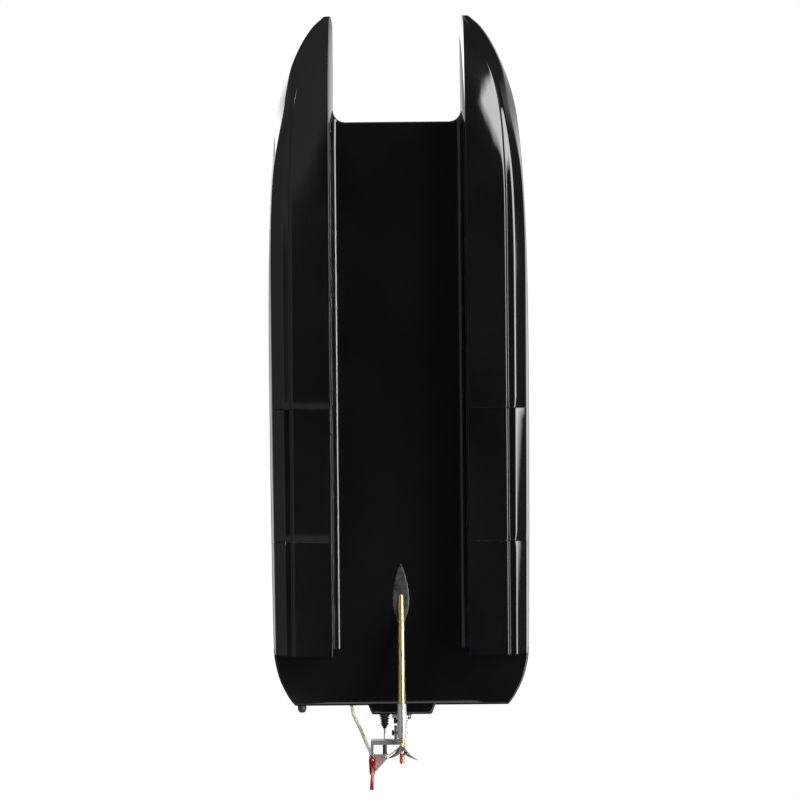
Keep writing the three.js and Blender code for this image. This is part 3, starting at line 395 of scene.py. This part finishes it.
def skin(loops, closed=True, caps=True):
    """Points and faces of a surface through loops that all have the same number of points."""
    count = len(loops[0])
    points = [p for loop in loops for p in loop]
    faces = []
    for s in range(len(loops) - 1):
        for i in range(count if closed else count - 1):
            a, b = s * count + i, s * count + (i + 1) % count
            faces.append((a, b, b + count, a + count))
    if caps:
        last = (len(loops) - 1) * count
        faces.append(tuple(range(count)))
        faces.append(tuple(last + i for i in range(count)))
    return points, faces


def merged(parts):
    """Several (points, faces) as one."""
    points, faces = [], []
    for more_points, more_faces in parts:
        base = len(points)
        points += more_points
        faces += [tuple(base + i for i in face) for face in more_faces]
    return points, faces


def turned(profile, centre, axis="Y", sides=40):
    """A turned solid from (radius, station) pairs; a radius of 0 closes it on its axis."""
    loops = []
    for radius, station in profile:
        loop = []
        for i in range(sides):
            a = 2 * math.pi * i / sides
            u, v = max(radius, 0.001) * math.cos(a), max(radius, 0.001) * math.sin(a)
            offset = {"X": (station, u, v), "Y": (u, station, v), "Z": (u, v, station)}[axis]
            loop.append(tuple(c + o for c, o in zip(centre, offset)))
        loops.append(loop)
    return skin(loops)


def curve_points(points, count):
    """A smooth curve through the points, evenly stepped."""
    path = [Vector(p) for p in points]
    path = [path[0] * 2 - path[1], *path, path[-1] * 2 - path[-2]]
    fine = []
    for k in range(1, len(path) - 2):
        p0, p1, p2, p3 = path[k - 1:k + 3]
        for j in range(24):
            t = j / 24
            fine.append(0.5 * ((2 * p1) + (p2 - p0) * t + (2 * p0 - 5 * p1 + 4 * p2 - p3) * t * t
                               + (3 * p1 - p0 - 3 * p2 + p3) * t ** 3))
    fine.append(path[-2])
    lengths = [0.0]
    for a, b in zip(fine, fine[1:]):
        lengths.append(lengths[-1] + (b - a).length)
    out, k = [], 0
    for i in range(count):
        want = lengths[-1] * i / (count - 1)
        while k < len(fine) - 2 and lengths[k + 1] < want:
            k += 1
        span = max(lengths[k + 1] - lengths[k], 1e-9)
        out.append(fine[k].lerp(fine[k + 1], min(max((want - lengths[k]) / span, 0), 1)))
    return out


def tube(points, radius, count, sides, bore):
    """A round tube along a smooth curve, without twist, bored a little way into each end."""
    path = curve_points(points, count)
    side = (path[1] - path[0]).orthogonal().normalized()
    loops = []
    for i, p in enumerate(path):
        ahead = path[min(i + 1, count - 1)] - path[max(i - 1, 0)]
        ahead.normalize()
        side = (side - ahead * side.dot(ahead)).normalized()
        other = ahead.cross(side)
        ring = [(side * math.cos(a) + other * math.sin(a))
                for a in (2 * math.pi * k / sides for k in range(sides))]
        loops.append([tuple(p + r * radius) for r in ring])
        if i in (0, count - 1):
            inner = [tuple(p + r * bore) for r in ring]
            deep = path[1] if i == 0 else path[-2]
            pit = [tuple(deep + r * bore) for r in ring]
            if i == 0:
                loops[:0] = [pit, inner]
            else:
                loops += [inner, pit]
    return skin(loops)


def fair(pairs):
    """A value that runs smoothly along the boat through a few (y, value) pairs."""
    slopes = []
    for i in range(len(pairs)):
        (y0, v0), (y1, v1) = pairs[max(i - 1, 0)], pairs[min(i + 1, len(pairs) - 1)]
        slopes.append((v1 - v0) / (y1 - y0))

    def at(y):
        i = 0
        while i < len(pairs) - 2 and y > pairs[i + 1][0]:
            i += 1
        (y0, v0), (y1, v1) = pairs[i], pairs[i + 1]
        span = y1 - y0
        t = min(max((y - y0) / span, 0), 1)
        rise = t * t * (3 - 2 * t)
        lead = t * (1 - t) ** 2 * span * slopes[i]
        trail = t * t * (1 - t) * span * slopes[i + 1]
        return v0 + (v1 - v0) * rise + lead - trail
    return at


def eased(points, radii):
    """A closed outline with each corner rounded by its own radius."""
    steps, out = 5, []
    for i, (x, z) in enumerate(points):
        p = Vector((x, z))
        before, after = Vector(points[i - 1]), Vector(points[(i + 1) % len(points)])
        radius = radii[i]
        back, ahead = before - p, after - p
        a = p + back * min(radius / max(back.length, 1e-6), 0.4)
        b = p + ahead * min(radius / max(ahead.length, 1e-6), 0.4)
        for k in range(steps):
            t = k / (steps - 1)
            q = a * (1 - t) ** 2 + p * 2 * t * (1 - t) + b * t * t
            out.append((q.x, q.y))
    return out


def spaced(y0, y1, step):
    """Stations from y0 to y1, at most a step apart."""
    count = max(math.ceil((y1 - y0) / step), 1)
    return [y0 + (y1 - y0) * i / count for i in range(count + 1)]


# ---- hull lines, as in the frame ----
sheer_x = fair([(-375, 71), (-365, 82.5), (-347, 94.5), (-318, 107.2), (-283, 116.4),
                (-217, 122.8), (-119, 126.2), (27, 126.5), (242, 124.4), (256, 122.5),
                (271, 118.1), (287, 109.8), (294, 104)])
inner_x = fair([(-375, 63.4), (-366, TUNNEL_HALF), (-280, TUNNEL_HALF), (-240, 62.4),
                (242, 62.4)])
keel_x = fair([(-375, 64.6), (-366, 65.1), (242, 65.2)])
keel_z = fair([(-375, 43.6), (-370.5, 38), (-360, 30.5), (-340, 21.5), (-310, 13), (-270, 6),
               (-220, 1.8), (-170, 0.2), (-130, 0), (242, 0)])
crease_x = fair([(-375, 66), (-365, 71), (-345, 79.5), (-312, 92.5), (-275, 99.5),
                 (-230, 102.2), (-190, 103), (242, 103)])
crease_z = fair([(-375, 44.2), (-365, 38), (-345, 30.5), (-312, 22), (-275, 15.5), (-230, 10),
                 (-190, 7.4), (-140, 6.5), (242, 6.5)])
chine_x = fair([(-375, 69), (-365, 80.5), (-347, 92.5), (-325, 102), (-305, 105.5),
                (-286, 108.2), (-247, 115.8), (-220, 119.6), (-170, 122), (-110, 122.4),
                (242, 120.5)])
chine_z = fair([(-375, 45), (-365, 43.5), (-347, 41), (-325, 38), (-300, 33.5), (-280, 29.5),
                (-245, 24), (-200, 19.5), (-150, 17.3), (-100, 17), (242, 17)])
deck_top_z = fair([(-375, 49.5), (-362, 52.5), (-335, 55.5), (-300, 57.3), (-260, DECK_Z),
                   (STERN_Y, DECK_Z)])
nose_z = fair([(-284, 50), (-272, 50.5), (-252, 55.5), (-232, DECK_Z), (-200, DECK_Z)])


def strake_depth(y):
    """How far the strake stands out, from nothing at the bow to all of it further back."""
    t = min(max((y + 318) / 46, 0), 1)
    return t * t * (3 - 2 * t)


def step_lift(y):
    """How far the bottom jumps up behind each step, and comes down again towards the next."""
    if y < STEPS[0]:
        return 0
    start = STEPS[0] if y < STEPS[1] else STEPS[1]
    return 2.4 - 1.5 * (y - start) / 127


def sponson_section(y):
    """Half a section: inner wall, keel, belly, crease, strake, chine and side."""
    lift, depth = step_lift(y), strake_depth(y)
    crease = Vector((crease_x(y), crease_z(y) + lift))
    chine = Vector((chine_x(y), chine_z(y)))
    lip = crease.lerp(chine, 0.07) + Vector((0, 1.4 * depth))
    edge = crease.lerp(chine, 0.42) + Vector((0, -1.3 * depth))
    keel = Vector((keel_x(y), keel_z(y) + lift))
    bulge = 0.03 * (crease - keel).length * min(max((-185 - y) / 60, 0), 1)
    belly = [tuple(keel.lerp(crease, t) - Vector((0, 4 * bulge * t * (1 - t))))
             for t in (0.12, 0.3, 0.5, 0.7, 0.88)]
    corners = [(inner_x(y), PARTING_Z), tuple(keel), *belly, tuple(crease), tuple(lip),
               tuple(edge), tuple(chine), (sheer_x(y) - LIP, PARTING_Z)]
    fade = min(1, 0.25 + (y - BOW_Y) / 60)
    radii = [0.3, 1.1 * fade, 3, 4, 4, 4, 3, 1.2, 0.8, 1.6, 2.2 * fade, 0.5]
    return eased(corners, radii)


def raised(loop, rise):
    """A section with its bottom lifted; its upper part stays."""
    return [(x, y, z + (rise if z < 25 else 0)) for x, y, z in loop]


def sponson():
    """One sponson. The edge of each step is rounded by two more sections just ahead of it."""
    gap = 0.1
    ys = (spaced(BOW_Y, -340, 3) + spaced(-340, -100, 5)[1:] + spaced(-100, STEPS[0] - gap, 12)[1:]
          + spaced(STEPS[0] + gap, STEPS[1] - gap, 12) + spaced(STEPS[1] + gap, SPONSON_END_Y, 12))
    loops = [[(x, y, z) for x, z in sponson_section(y)] for y in ys]
    for start in STEPS:
        edge = start - gap
        for ahead, rise in ((0.6, 0.0), (0.25, 0.2)):
            loops.append(raised([(x, edge - ahead, z) for x, z in sponson_section(edge)], rise))
        loops = [raised(loop, 0.8) if abs(loop[0][1] - edge) < 0.01 else loop for loop in loops]
    loops.sort(key=lambda loop: loop[0][1])
    return skin(loops)


def mirror(part):
    points, faces = part
    return [(-x, y, z) for x, y, z in points], [tuple(reversed(face)) for face in faces]


def tunnel_front(x):
    """Where the roof of the tunnel begins, which curves forward into each sponson."""
    straight = TUNNEL_HALF - TUNNEL_CORNER_R
    over = min(max(abs(x) - straight, 0), TUNNEL_CORNER_R)
    return TUNNEL_FRONT_Y - TUNNEL_CORNER_R + math.sqrt(TUNNEL_CORNER_R ** 2 - over ** 2)


def tunnel():
    """The roof, turned down into a fillet at each wall and up round its leading edge."""
    half, fillet, lip = 57.4, 6.0, 3.2
    profile = [(x, ROOF_Z) for x in spaced(0, 48, 8)] + [(x, ROOF_Z) for x in spaced(50, half, 1)]
    profile += [(half + fillet * math.sin(a), ROOF_Z - fillet * (1 - math.cos(a)))
                for a in (math.pi / 2 * i / 8 for i in range(1, 9))]
    profile += [(66, ROOF_Z - fillet)]
    profile = [(-x, z) for x, z in reversed(profile)] + profile[1:]
    rows = []
    for x, z in profile:
        start = tunnel_front(min(abs(x), TUNNEL_HALF))
        line = [(x, start, PARTING_Z + 2)]
        for i in range(7):
            a = math.pi / 2 * i / 6
            line.append((x, start + lip * (1 - math.cos(a)), z + lip * (1 - math.sin(a))))
        line += [(x, start + (SHELF_Y - start) * t, z) for t in (0.06, 0.2, 0.4, 0.6, 0.8, 1)]
        rows.append(line)
    return skin(rows, closed=False, caps=False)


def outline_solid(outline, layers):
    """A flat piece with an eased lower edge: outline(inset) gives its plan at each (inset, z)."""
    return skin([[(x, y, z) for x, y in outline(inset)] for inset, z in layers])


def stern_outline(inset):
    ys = [SHELF_Y, 244, 250, 256, 261, 266, 271, 276, 281, 286, 290, STERN_Y - inset]
    port = [(sheer_x(y) - LIP - inset, y) for y in ys]
    return port + [(-x, y) for x, y in reversed(port)]


def pod_outline(inset):
    port = [(33.5 - inset, 292), (29.4 - inset, 302 - inset), (28 - inset, 303 - inset)]
    return port + [(-x, y) for x, y in reversed(port)]


# A rounded lower edge, as (inset, z).
EASED_BASE = [(2.2, 40), (1.2, 40.25), (0.5, 40.8), (0.12, 41.6), (0, 42.6)]


def hull():
    shelf = outline_solid(stern_outline, EASED_BASE + [(0, PARTING_Z)])
    pod = outline_solid(pod_outline, EASED_BASE + [(0, 54), (0.4, 55.1), (1.4, 55.5)])
    wall = [(-102, 291.6), (102, 291.6), (102, STERN_Y), (-102, STERN_Y)]
    transom = skin([[(x, y, z) for x, y in wall] for z in (42, 55.5)])
    side = sponson()
    build("hull_shell", *merged([side, mirror(side), shelf, pod, transom]), BLACK, "hull",
          ["hull_bottom"], 40)
    build("hull_tunnel", *tunnel(), BLACK, "hull", (), 50)


# ---- livery: masks in the object's own coordinates, in metres ----
def livery(name, base, masks):
    """Gloss paint in a base colour, with another colour laid over it through each mask."""
    mat = surface(name, base, tuple(min(1, c * 1.06) for c in base), (0.06, 0.16), scale=12,
                  grain=130, bump=0.02, scratches=0.05)
    tree = mat.node_tree
    shader = tree.nodes["Principled BSDF"]
    colour = shader.inputs["Base Color"].links[0].from_socket
    for mask, paint in masks:
        colour = mixed(tree, mask(tree), colour, paint)
    tree.links.new(colour, shader.inputs["Base Color"])
    return mat


def above(tree, value, edge):
    soft = 0.0004
    return stretched(tree, value, edge - soft, edge + soft)


def below(tree, value, edge):
    return maths(tree, "SUBTRACT", 1, above(tree, value, edge))


def between(tree, value, low, high):
    return maths(tree, "SUBTRACT", above(tree, value, low), above(tree, value, high))


def low_edge(tree):
    """Black below the shoulder of the deck, so the moulded edge matches the hull."""
    return below(tree, axes(tree)[2], 0.0938)


def sweep(offset, width):
    """A stripe that runs back along each sponson and sweeps in towards the stern."""
    def mask(tree):
        x, y, _ = axes(tree)
        run = maths(tree, "MULTIPLY", maths(tree, "ADD", y, 0.37), -0.055)
        line = maths(tree, "ADD", maths(tree, "ABSOLUTE", x), run)
        return between(tree, line, offset, offset + width)
    return mask


def band(axis, low, high):
    """A stripe square across one axis."""
    return lambda tree: between(tree, axes(tree)[axis], low, high)


def centre_stripe(width):
    """A stripe along the middle; width is half its width."""
    return lambda tree: below(tree, maths(tree, "ABSOLUTE", axes(tree)[0]), width)


def windows(tree):
    """The dark glazing of the cockpit: a band high on its flanks, cut off slanting fore and aft."""
    x, y, z = axes(tree)
    fore = maths(tree, "ADD", y, maths(tree, "MULTIPLY", maths(tree, "SUBTRACT", z, 0.12), 1.6))
    aft = maths(tree, "ADD", y, maths(tree, "MULTIPLY", maths(tree, "SUBTRACT", 0.12, z), 1.1))
    along = maths(tree, "MULTIPLY", above(tree, fore, -0.075), below(tree, aft, 0.075))
    high = maths(tree, "MULTIPLY", above(tree, z, 0.112), below(tree, z, 0.1345))
    apart = above(tree, maths(tree, "ABSOLUTE", x), 0.007)
    return maths(tree, "MULTIPLY", maths(tree, "MULTIPLY", along, high), apart)


RED_PAINT = (0.55, 0.02, 0.015)
WHITE_PAINT = (0.80, 0.80, 0.79)
STRIPE_PAINT = (0.01, 0.01, 0.012)
DECK_PAINT = livery("deck_paint", WHITE_PAINT, [
    (sweep(0.066, 0.016), RED_PAINT), (sweep(0.085, 0.004), STRIPE_PAINT),
    (band(1, 0.262, 0.268), RED_PAINT), (low_edge, (0.006, 0.0065, 0.008))])
CANOPY_PAINT = livery("canopy_paint", RED_PAINT, [
    (centre_stripe(0.016), WHITE_PAINT), (centre_stripe(0.0045), STRIPE_PAINT),
    (windows, (0.008, 0.009, 0.011)), (band(2, 0.0970, 0.1004), STRIPE_PAINT)])


# ---- deck and canopy ----
DECK_BASE = PARTING_Z + 0.3


def bow_deck_loop(y):
    """The deck's section over one bow, ahead of the tunnel."""
    base = DECK_BASE
    low, high, top = inner_x(y), sheer_x(y), deck_top_z(y)
    bevel = min(12, 0.3 * (high - low))
    corners = [(low, base), (high - LIP, base), (high, base + 0.35 * (top - base)),
               (high - 0.25 * bevel, base + 0.7 * (top - base)), (high - bevel, top),
               (low + 0.3 * bevel, top), (low + 0.05 * bevel, base + 0.55 * (top - base))]
    return eased(corners, [0.3, 0.8, 1.6, 2.5, 3.5, 1.5, 1.5])


def deck_loop(y):
    """The deck's section across the whole boat."""
    base = DECK_BASE
    side, top, middle = sheer_x(y), deck_top_z(y), nose_z(y)
    half = [(side - LIP, base), (side, base + 0.35 * (top - base)),
            (side - 3, base + 0.7 * (top - base)), (side - 12, top), (68, top), (60, middle)]
    corners = half + [(-x, z) for x, z in reversed(half)]
    radii = [0.8, 1.6, 2.5, 3.5, 2, 2]
    return eased(corners, radii + radii[::-1])


def rounded_box(x0, x1, y0, y1, r, z0, z1):
    """A box with its upright corners rounded."""
    outline, steps = [], 8
    for cx, cy, start in ((x1 - r, y1 - r, 0), (x0 + r, y1 - r, 1), (x0 + r, y0 + r, 2),
                          (x1 - r, y0 + r, 3)):
        for k in range(steps + 1):
            a = math.pi / 2 * (start + k / steps)
            outline.append((cx + r * math.cos(a), cy + r * math.sin(a)))
    return skin([[(x, y, z) for x, y in outline] for z in (z0, z1)])


def cut_away(obj, *tools):
    """Cuts closed shapes out of a piece, and keeps the result as its mesh."""
    for points, faces in tools:
        cutter = build("cutter", points, faces, BLACK, None)
        modifier = obj.modifiers.new("cut", "BOOLEAN")
        modifier.operation = "DIFFERENCE"
        modifier.solver = "EXACT"
        modifier.object = cutter
        graph = bpy.context.evaluated_depsgraph_get()
        mesh = bpy.data.meshes.new_from_object(obj.evaluated_get(graph))
        obj.modifiers.clear()
        obj.data = mesh
        bpy.data.objects.remove(cutter)
    smooth(obj.data, 32)


def bow_corner(side):
    """What lies inside the rounded corner where the tunnel's leading edge meets a sponson."""
    outline, r, ahead = [], TUNNEL_CORNER_R, -300
    for k in range(13):
        a = math.pi / 2 * k / 12
        outline.append((TUNNEL_HALF - r + r * math.cos(a), TUNNEL_FRONT_Y - r + r * math.sin(a)))
    outline += [(0, TUNNEL_FRONT_Y), (0, ahead), (TUNNEL_HALF, ahead)]
    return skin([[(side * x, y, z) for x, y in outline] for z in (20, 80)])


def deck():
    ys = spaced(-285, STERN_Y - 0.2, 6)
    main = skin([[(x, y, z) for x, z in deck_loop(y)] for y in ys])
    bow_ys = spaced(BOW_Y, -345, 2.5) + spaced(-345, -274, 5)[1:]
    bow = skin([[(x, y, z) for x, z in bow_deck_loop(y)] for y in bow_ys])
    body = build("deck_shell", *main, DECK_PAINT, "hull", ["deck", "deck_front"], 32)
    cut_away(body, bow_corner(1), bow_corner(-1), rounded_box(*BAY, 40, 70))
    build("deck_bow_port", *bow, DECK_PAINT, "hull", (), 32)
    build("deck_bow_starboard", *mirror(bow), DECK_PAINT, "hull", (), 32)


# The canopy's height and half width.
bump_h = fair([(-206, 5), (-190, 14), (-168, 22), (-120, 28), (-60, 35), (0, 42), (50, 45),
               (100, 42), (150, 35), (200, 21), (224, 5)])
bump_w = fair([(-206, 18), (-192, 28), (-165, 39), (-110, 49), (-30, 54), (110, 55.5),
               (175, 54), (208, 48), (224, 35)])


def canopy_loop(y, inset, base):
    """A squared arch across the canopy, with short legs down to the base."""
    w, h, power = bump_w(y) - inset, bump_h(y) - inset, 2 / 2.6
    arch = [(math.copysign(abs(math.cos(a)) ** power, math.cos(a)) * w, y,
             CANOPY_Z + 1 + math.sin(a) ** power * h)
            for a in (math.pi * i / 40 for i in range(41))]
    return [(w, y, base), *arch, (-w, y, base)]


def canopy():
    """A hollow lid with a flange round it and a scoop on its back."""
    loops = [canopy_loop(y, 0, CANOPY_Z + 0.2) for y in spaced(-206, 224, 5)]
    hollow = [canopy_loop(y, 2.4, CANOPY_Z - 2) for y in spaced(-200, 218, 5)]
    shell = build("canopy_shell", *skin(loops), CANOPY_PAINT, "canopy_cover", ["canopy"], 50)
    cut_away(shell, skin(hollow))
    bevelled(shell, 2.5, 50, 4)
    flange = build("canopy_flange", *rounded_box(*FLANGE, CANOPY_Z, CANOPY_Z + 2.2),
                   CANOPY_PAINT, "canopy_cover")
    cut_away(flange, skin(hollow))
    bevelled(flange, 0.7, 40, 3)
    scoop = []
    for y, half, high in ((92, 13, 43.6), (94, 14.5, 47.2), (110, 15, 47.8), (135, 13, 44.5),
                          (160, 9, 37), (178, 4, 29)):
        ring = []
        for i in range(24):
            a = math.pi * i / 23
            ring.append((half * math.cos(a), y, CANOPY_Z + 26 + (high - 26) * math.sin(a) ** 0.6))
        scoop.append(ring)
    hood = build("canopy_scoop", *skin(scoop), CANOPY_PAINT, "canopy_cover", (), 50)
    bevelled(hood, 0.8, 50, 3)
    # The scoop is closed. The black plastic disc on its front is painted shade, standing for the
    # dark inside of an open mouth.
    mouth = [(11.5 * math.cos(math.pi * i / 19), 91.8,
              CANOPY_Z + 38 + 7.2 * math.sin(math.pi * i / 19) ** 0.6) for i in range(20)]
    back = [(x, 93.4, z) for x, _, z in mouth]
    build("canopy_scoop_painted_shade", *skin([mouth, back]), BLACK_PLASTIC, "canopy_cover")


# ---- pieces carried over from the frame, with eased edges ----
def refined(node, material, width):
    """A CAD node's own shape, welded into clean faces and given soft edges."""
    source = NODES[node]
    work = bmesh.new()
    work.from_mesh(source.data)
    bmesh.ops.remove_doubles(work, verts=work.verts, dist=0.000002)
    bmesh.ops.dissolve_limit(work, angle_limit=math.radians(0.6), verts=work.verts,
                             edges=work.edges)
    mesh = bpy.data.meshes.new(node + "_piece")
    work.to_mesh(mesh)
    work.free()
    smooth(mesh)
    obj = add_object(node + "_piece", mesh, material, source["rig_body"], [node])
    if width:
        bevelled(obj, width, 38, 2)


# Each node's material and the width of its soft edges.
REFINED = {
    "water_inlet": (BRASS, 0.1), "water_outlet": (ALUMINIUM, 0.15), "canopy_seal": (RUBBER, 0.3),
    "strut": (ALUMINIUM, 0.35), "strut_bracket": (ALUMINIUM, 0.3), "prop_nut": (COPPER, 0.25),
    "strut_bushing": (BRASS, 0.1), "prop_shaft": (STEEL, 0.2), "flex_shaft": (STEEL, 0),
    "motor_can": (BLACK_STEEL, 0.4), "motor_front_bell": (ALUMINIUM, 0.4),
    "motor_stator": (STEEL, 0), "motor_rotor": (STEEL, 0.2), "shaft_coupler": (BRASS, 0.3),
    "water_jacket": (RED_ANODISE, 0.3), "motor_mount": (ALUMINIUM, 0.3),
    "rudder_bracket": (GREY_ANODISE, 0.25), "rudder_pivot_pin": (STEEL, 0.2),
    "rudder_yoke": (RED_ANODISE, 0.25), "tiller_plate": (ALUMINIUM, 0.2),
    "rudder_blade": (RED_FIN, 0.12), "rudder_nipple": (BRASS, 0.1), "kick_pin": (STEEL, 0.15),
    "pushrod": (STEEL, 0.1), "rod_end": (BLACK_PLASTIC, 0.25),
    "servo": (BLACK_PLASTIC, 0.6), "servo_horn": (ALUMINIUM, 0.2), "servo_tray": (PLY, 0.2),
    "battery": (SHRINK, 1.2), "battery_tray": (PLY, 0.2), "battery_strap": (WEBBING, 0.2),
    "speed_controller": (BLACK_PLASTIC, 0.7), "controller_water_plate": (RED_ANODISE, 0.3),
    "receiver_box": (GREY_PLASTIC, 0.8), "power_connector": (GREY_PLASTIC, 0.6),
    "flotation_port": (FOAM, 0.8), "flotation_starboard": (FOAM, 0.8),
    "motor_lead_1": (CABLE, 0), "motor_lead_2": (CABLE, 0), "motor_lead_3": (CABLE, 0),
    "battery_lead": (CABLE, 0), "controller_lead": (CABLE, 0),
    "hose_inlet": (SILICONE, 0), "hose_link": (SILICONE, 0), "hose_outlet": (SILICONE, 0),
}


# ---- drive line ----
def hex_socket_screw(name, centre, axis, radius, height, body, nodes=(), sign=1):
    """A cap screw: plain round rim, eased top and a hexagon socket; height runs towards sign."""
    rim = [(0.001, 0), (radius, 0), (radius, height * 0.8), (radius * 0.88, height),
           (radius * 0.55, height)]
    outer = turned([(r, s * sign) for r, s in rim], centre, axis, 36)
    head = build(name, *outer, BLACK_STEEL, body, nodes)
    socket = turned([(radius * 0.52, height * 0.35 * sign), (radius * 0.52, height * 1.2 * sign)],
                    centre, axis, 6)
    cut_away(head, socket)


def propeller():
    """Two thin cupped blades on a bored hub."""
    chord = fair([(2, 7.5), (7, 11.5), (12, 13.5), (16, 11), (19, 3.5)])
    thick = fair([(2, 1.9), (10, 1.1), (19, 0.35)])
    root, tip, middle_y, pitch, camber, rake = 2, 19, 333.35, 54, 0.10, 0.42

    def blade(turn):
        loops = []
        for k in range(25):
            r = root + (tip - root) * k / 24
            helix = math.atan2(pitch, 2 * math.pi * r)
            c, t = chord(r) / 2, thick(r) / 2
            loop = []
            for i in range(28):
                a = 2 * math.pi * i / 28
                u = c * math.cos(a)
                v = t * math.sin(a) * (1.1 - 0.45 * math.cos(a))
                v += camber * c * (1 - (u / c) ** 2) + 0.5 * max(0, u / c - 0.55) ** 2 * c
                along = u * math.sin(helix) + v * math.cos(helix) + rake * (r - root)
                across = u * math.cos(helix) - v * math.sin(helix)
                loop.append((r, across, along))
            loops.append(loop)
        points, faces = skin(loops)
        a = math.radians(43 + turn)
        placed = []
        for r, across, along in points:
            x = r * math.cos(a) + across * math.sin(a)
            z = -r * math.sin(a) + across * math.cos(a)
            placed.append((x, middle_y + along, SHAFT_Z + z))
        return placed, faces
    hub = turned([(SHAFT_BORE, 329.5), (2.6, 329.5), (2.9, 329.9), (2.9, 336.2), (2.4, 337.2),
                  (SHAFT_BORE, 337.2)], (0, 0, SHAFT_Z))
    build("propeller_cast", *merged([blade(0), blade(180), hub]), PROP_METAL, "prop_rotating",
          ["propeller"], 40)


def drive_line():
    """The brass tube, the resin round it, the drive dog, and the screws of strut and bracket."""
    build("stuffing_tube_brass", *tube(TUBE_ROUTE, 3.4, 60, 32, 2.5), BRASS, "hull",
          ["stuffing_tube"], 50)
    half = fair([(157, 0.8), (170, 5), (186, 7.8), (200, 7.4), (220, 0.8)])
    drop = fair([(157, 0.2), (170, 0.8), (186, 1.1), (200, 1.1), (220, 0.25)])
    loops = []
    for y in spaced(157, 220, 1.5):
        wobble = 0.25 * math.sin(y * 0.9) + 0.2 * math.sin(y * 2.3)
        ring = []
        for i in range(22):
            a = math.pi * i / 21
            ring.append((math.cos(a) * (half(y) + wobble),
                         y, ROOF_Z - 0.02 - math.sin(a) ** 0.8 * (drop(y) + 0.12 * wobble)))
        loops.append(ring)
    build("tube_blister", *skin(loops), RESIN, "hull", ["tube_fairing"], 60)
    dog = turned([(SHAFT_BORE, 322), (2.7, 322), (3.1, 322.4), (3.1, 324.2), (2.7, 324.6),
                  (2.7, 325.4), (3.1, 325.8), (3.1, 327.4), (2.5, 329.2), (SHAFT_BORE, 329.2)],
                 (0, 0, SHAFT_Z))
    build("drive_dog_brass", *dog, BRASS, "prop_rotating", ["drive_dog"])
    hex_socket_screw("dog_set_screw", (0, 324.9, SHAFT_Z + 2.3), "Z", 1.0, 0.7, "prop_rotating")
    for name, y, z, x, thick in (("clamp_screw_upper", 309.5, 43, -5, 3),
                                 ("clamp_screw_lower", 319, 29, -7.9, 2)):
        hex_socket_screw(name + "_head", (x, y, z), "X", 2.6, thick, "hull", (name,), -1)
        shank = turned([(1.3, x - 0.5), (1.3, 5.2)], (0, y, z), "X", 24)
        build(name + "_shank", *shank, BLACK_STEEL, "hull")
    for x in (-7, 7):
        for z in (43.6, 51.4):
            hex_socket_screw(f"bracket_screw_{x + 8}_{int(z)}", (x, 306.35, z), "Y", 1.5, 1.5,
                             "hull")


# ---- steering ----
def drain_plug():
    profile = [(0.001, 290), (2.2, 290.2), (2.2, 294.3), (4.0, 294.3), (4.2, 294.6), (4.2, 297.6),
               (3.9, 299.0), (3.2, 300.1), (2.2, 300.9), (1.1, 301.25), (0.001, 301.3)]
    build("drain_plug_rubber", *turned(profile, (-97, 0, 47.5)), RUBBER, "plug", ["drain_plug"])


def bellows():
    """A ribbed boot from the pod to the pushrod."""
    start = 303.3
    profile = [(1.5, start), (5.0, start), (5.2, start + 0.3), (5.1, start + 0.9)]
    for i in range(4):
        for k in range(8):
            a = 2 * math.pi * k / 8
            profile.append((4.2 - 0.25 * i - 0.75 * math.cos(a), start + 1 + 2.4 * (i + k / 8)))
    profile += [(3.0, start + 10.9), (2.2, start + 12.0), (1.9, start + 12.8), (2.0, start + 13.5),
                (1.5, start + 13.8)]
    boot = build("bellows_rubber", *turned(profile, (ROD_X, 0, ROD_Z), "Y", 32), RUBBER, None,
                 ["bellows"], 60)
    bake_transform(boot)


def stud():
    """The stud inside the rod end's wide eye, with a slight barrel where the two meet."""
    rings = [(0.8, 36.6), (0.8, 45.3), (0.88, 46.2), (0.9, 47), (0.88, 47.8), (0.8, 48.7),
             (0.8, 49.8), (0.5, 50.0)]
    build("ball_stud", *turned(rings, (ROD_X, 344, 0), "Z", 32), STUD_METAL, "steering_yoke",
          ["tiller_ball_stud"])
    collar = turned([(2.0, 40.1), (2.0, 40.9), (1.7, 41.1), (0.9, 41.1)], (ROD_X, 344, 0), "Z", 6)
    build("ball_stud_collar", *collar, STEEL, "steering_yoke")


def rudder_hose():
    """One length of silicone hose, in two pieces."""
    front_route = [(-48.2, 294.8, 48), (-47.9, 299, 48), (-47.3, 303, 48.1), (-45, 308.5, 48.8),
                   (-40.2, 319, 51.5), (-35.2, 332, 55.2), (-31.7, 340, 56.7), (-30, 346, 56.5)]
    back_route = [(-29.85, 346.5, 56.5), (-29.3, 348.8, 56.1), (-28.9, 353.6, 53.4),
                  (-28.9, 358.2, 47.8), (-28.9, 360.3, 41.5), (-28.9, 360.6, 37.1)]
    front = build("rudder_hose_long", *tube(front_route, 1.7, 60, 20, 1.1), SILICONE, None,
                  ["rudder_hose_front"], 60)
    back = build("rudder_hose_short", *tube(back_route, 1.7, 40, 20, 1.1), SILICONE, None,
                 ["rudder_hose_back"], 60)
    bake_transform(front)
    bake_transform(back)
    path = curve_points(front_route, 40)


hull()
deck()
canopy()
propeller()
drive_line()
drain_plug()
bellows()
stud()
rudder_hose()
for node, (material, width) in REFINED.items():
    refined(node, material, width)
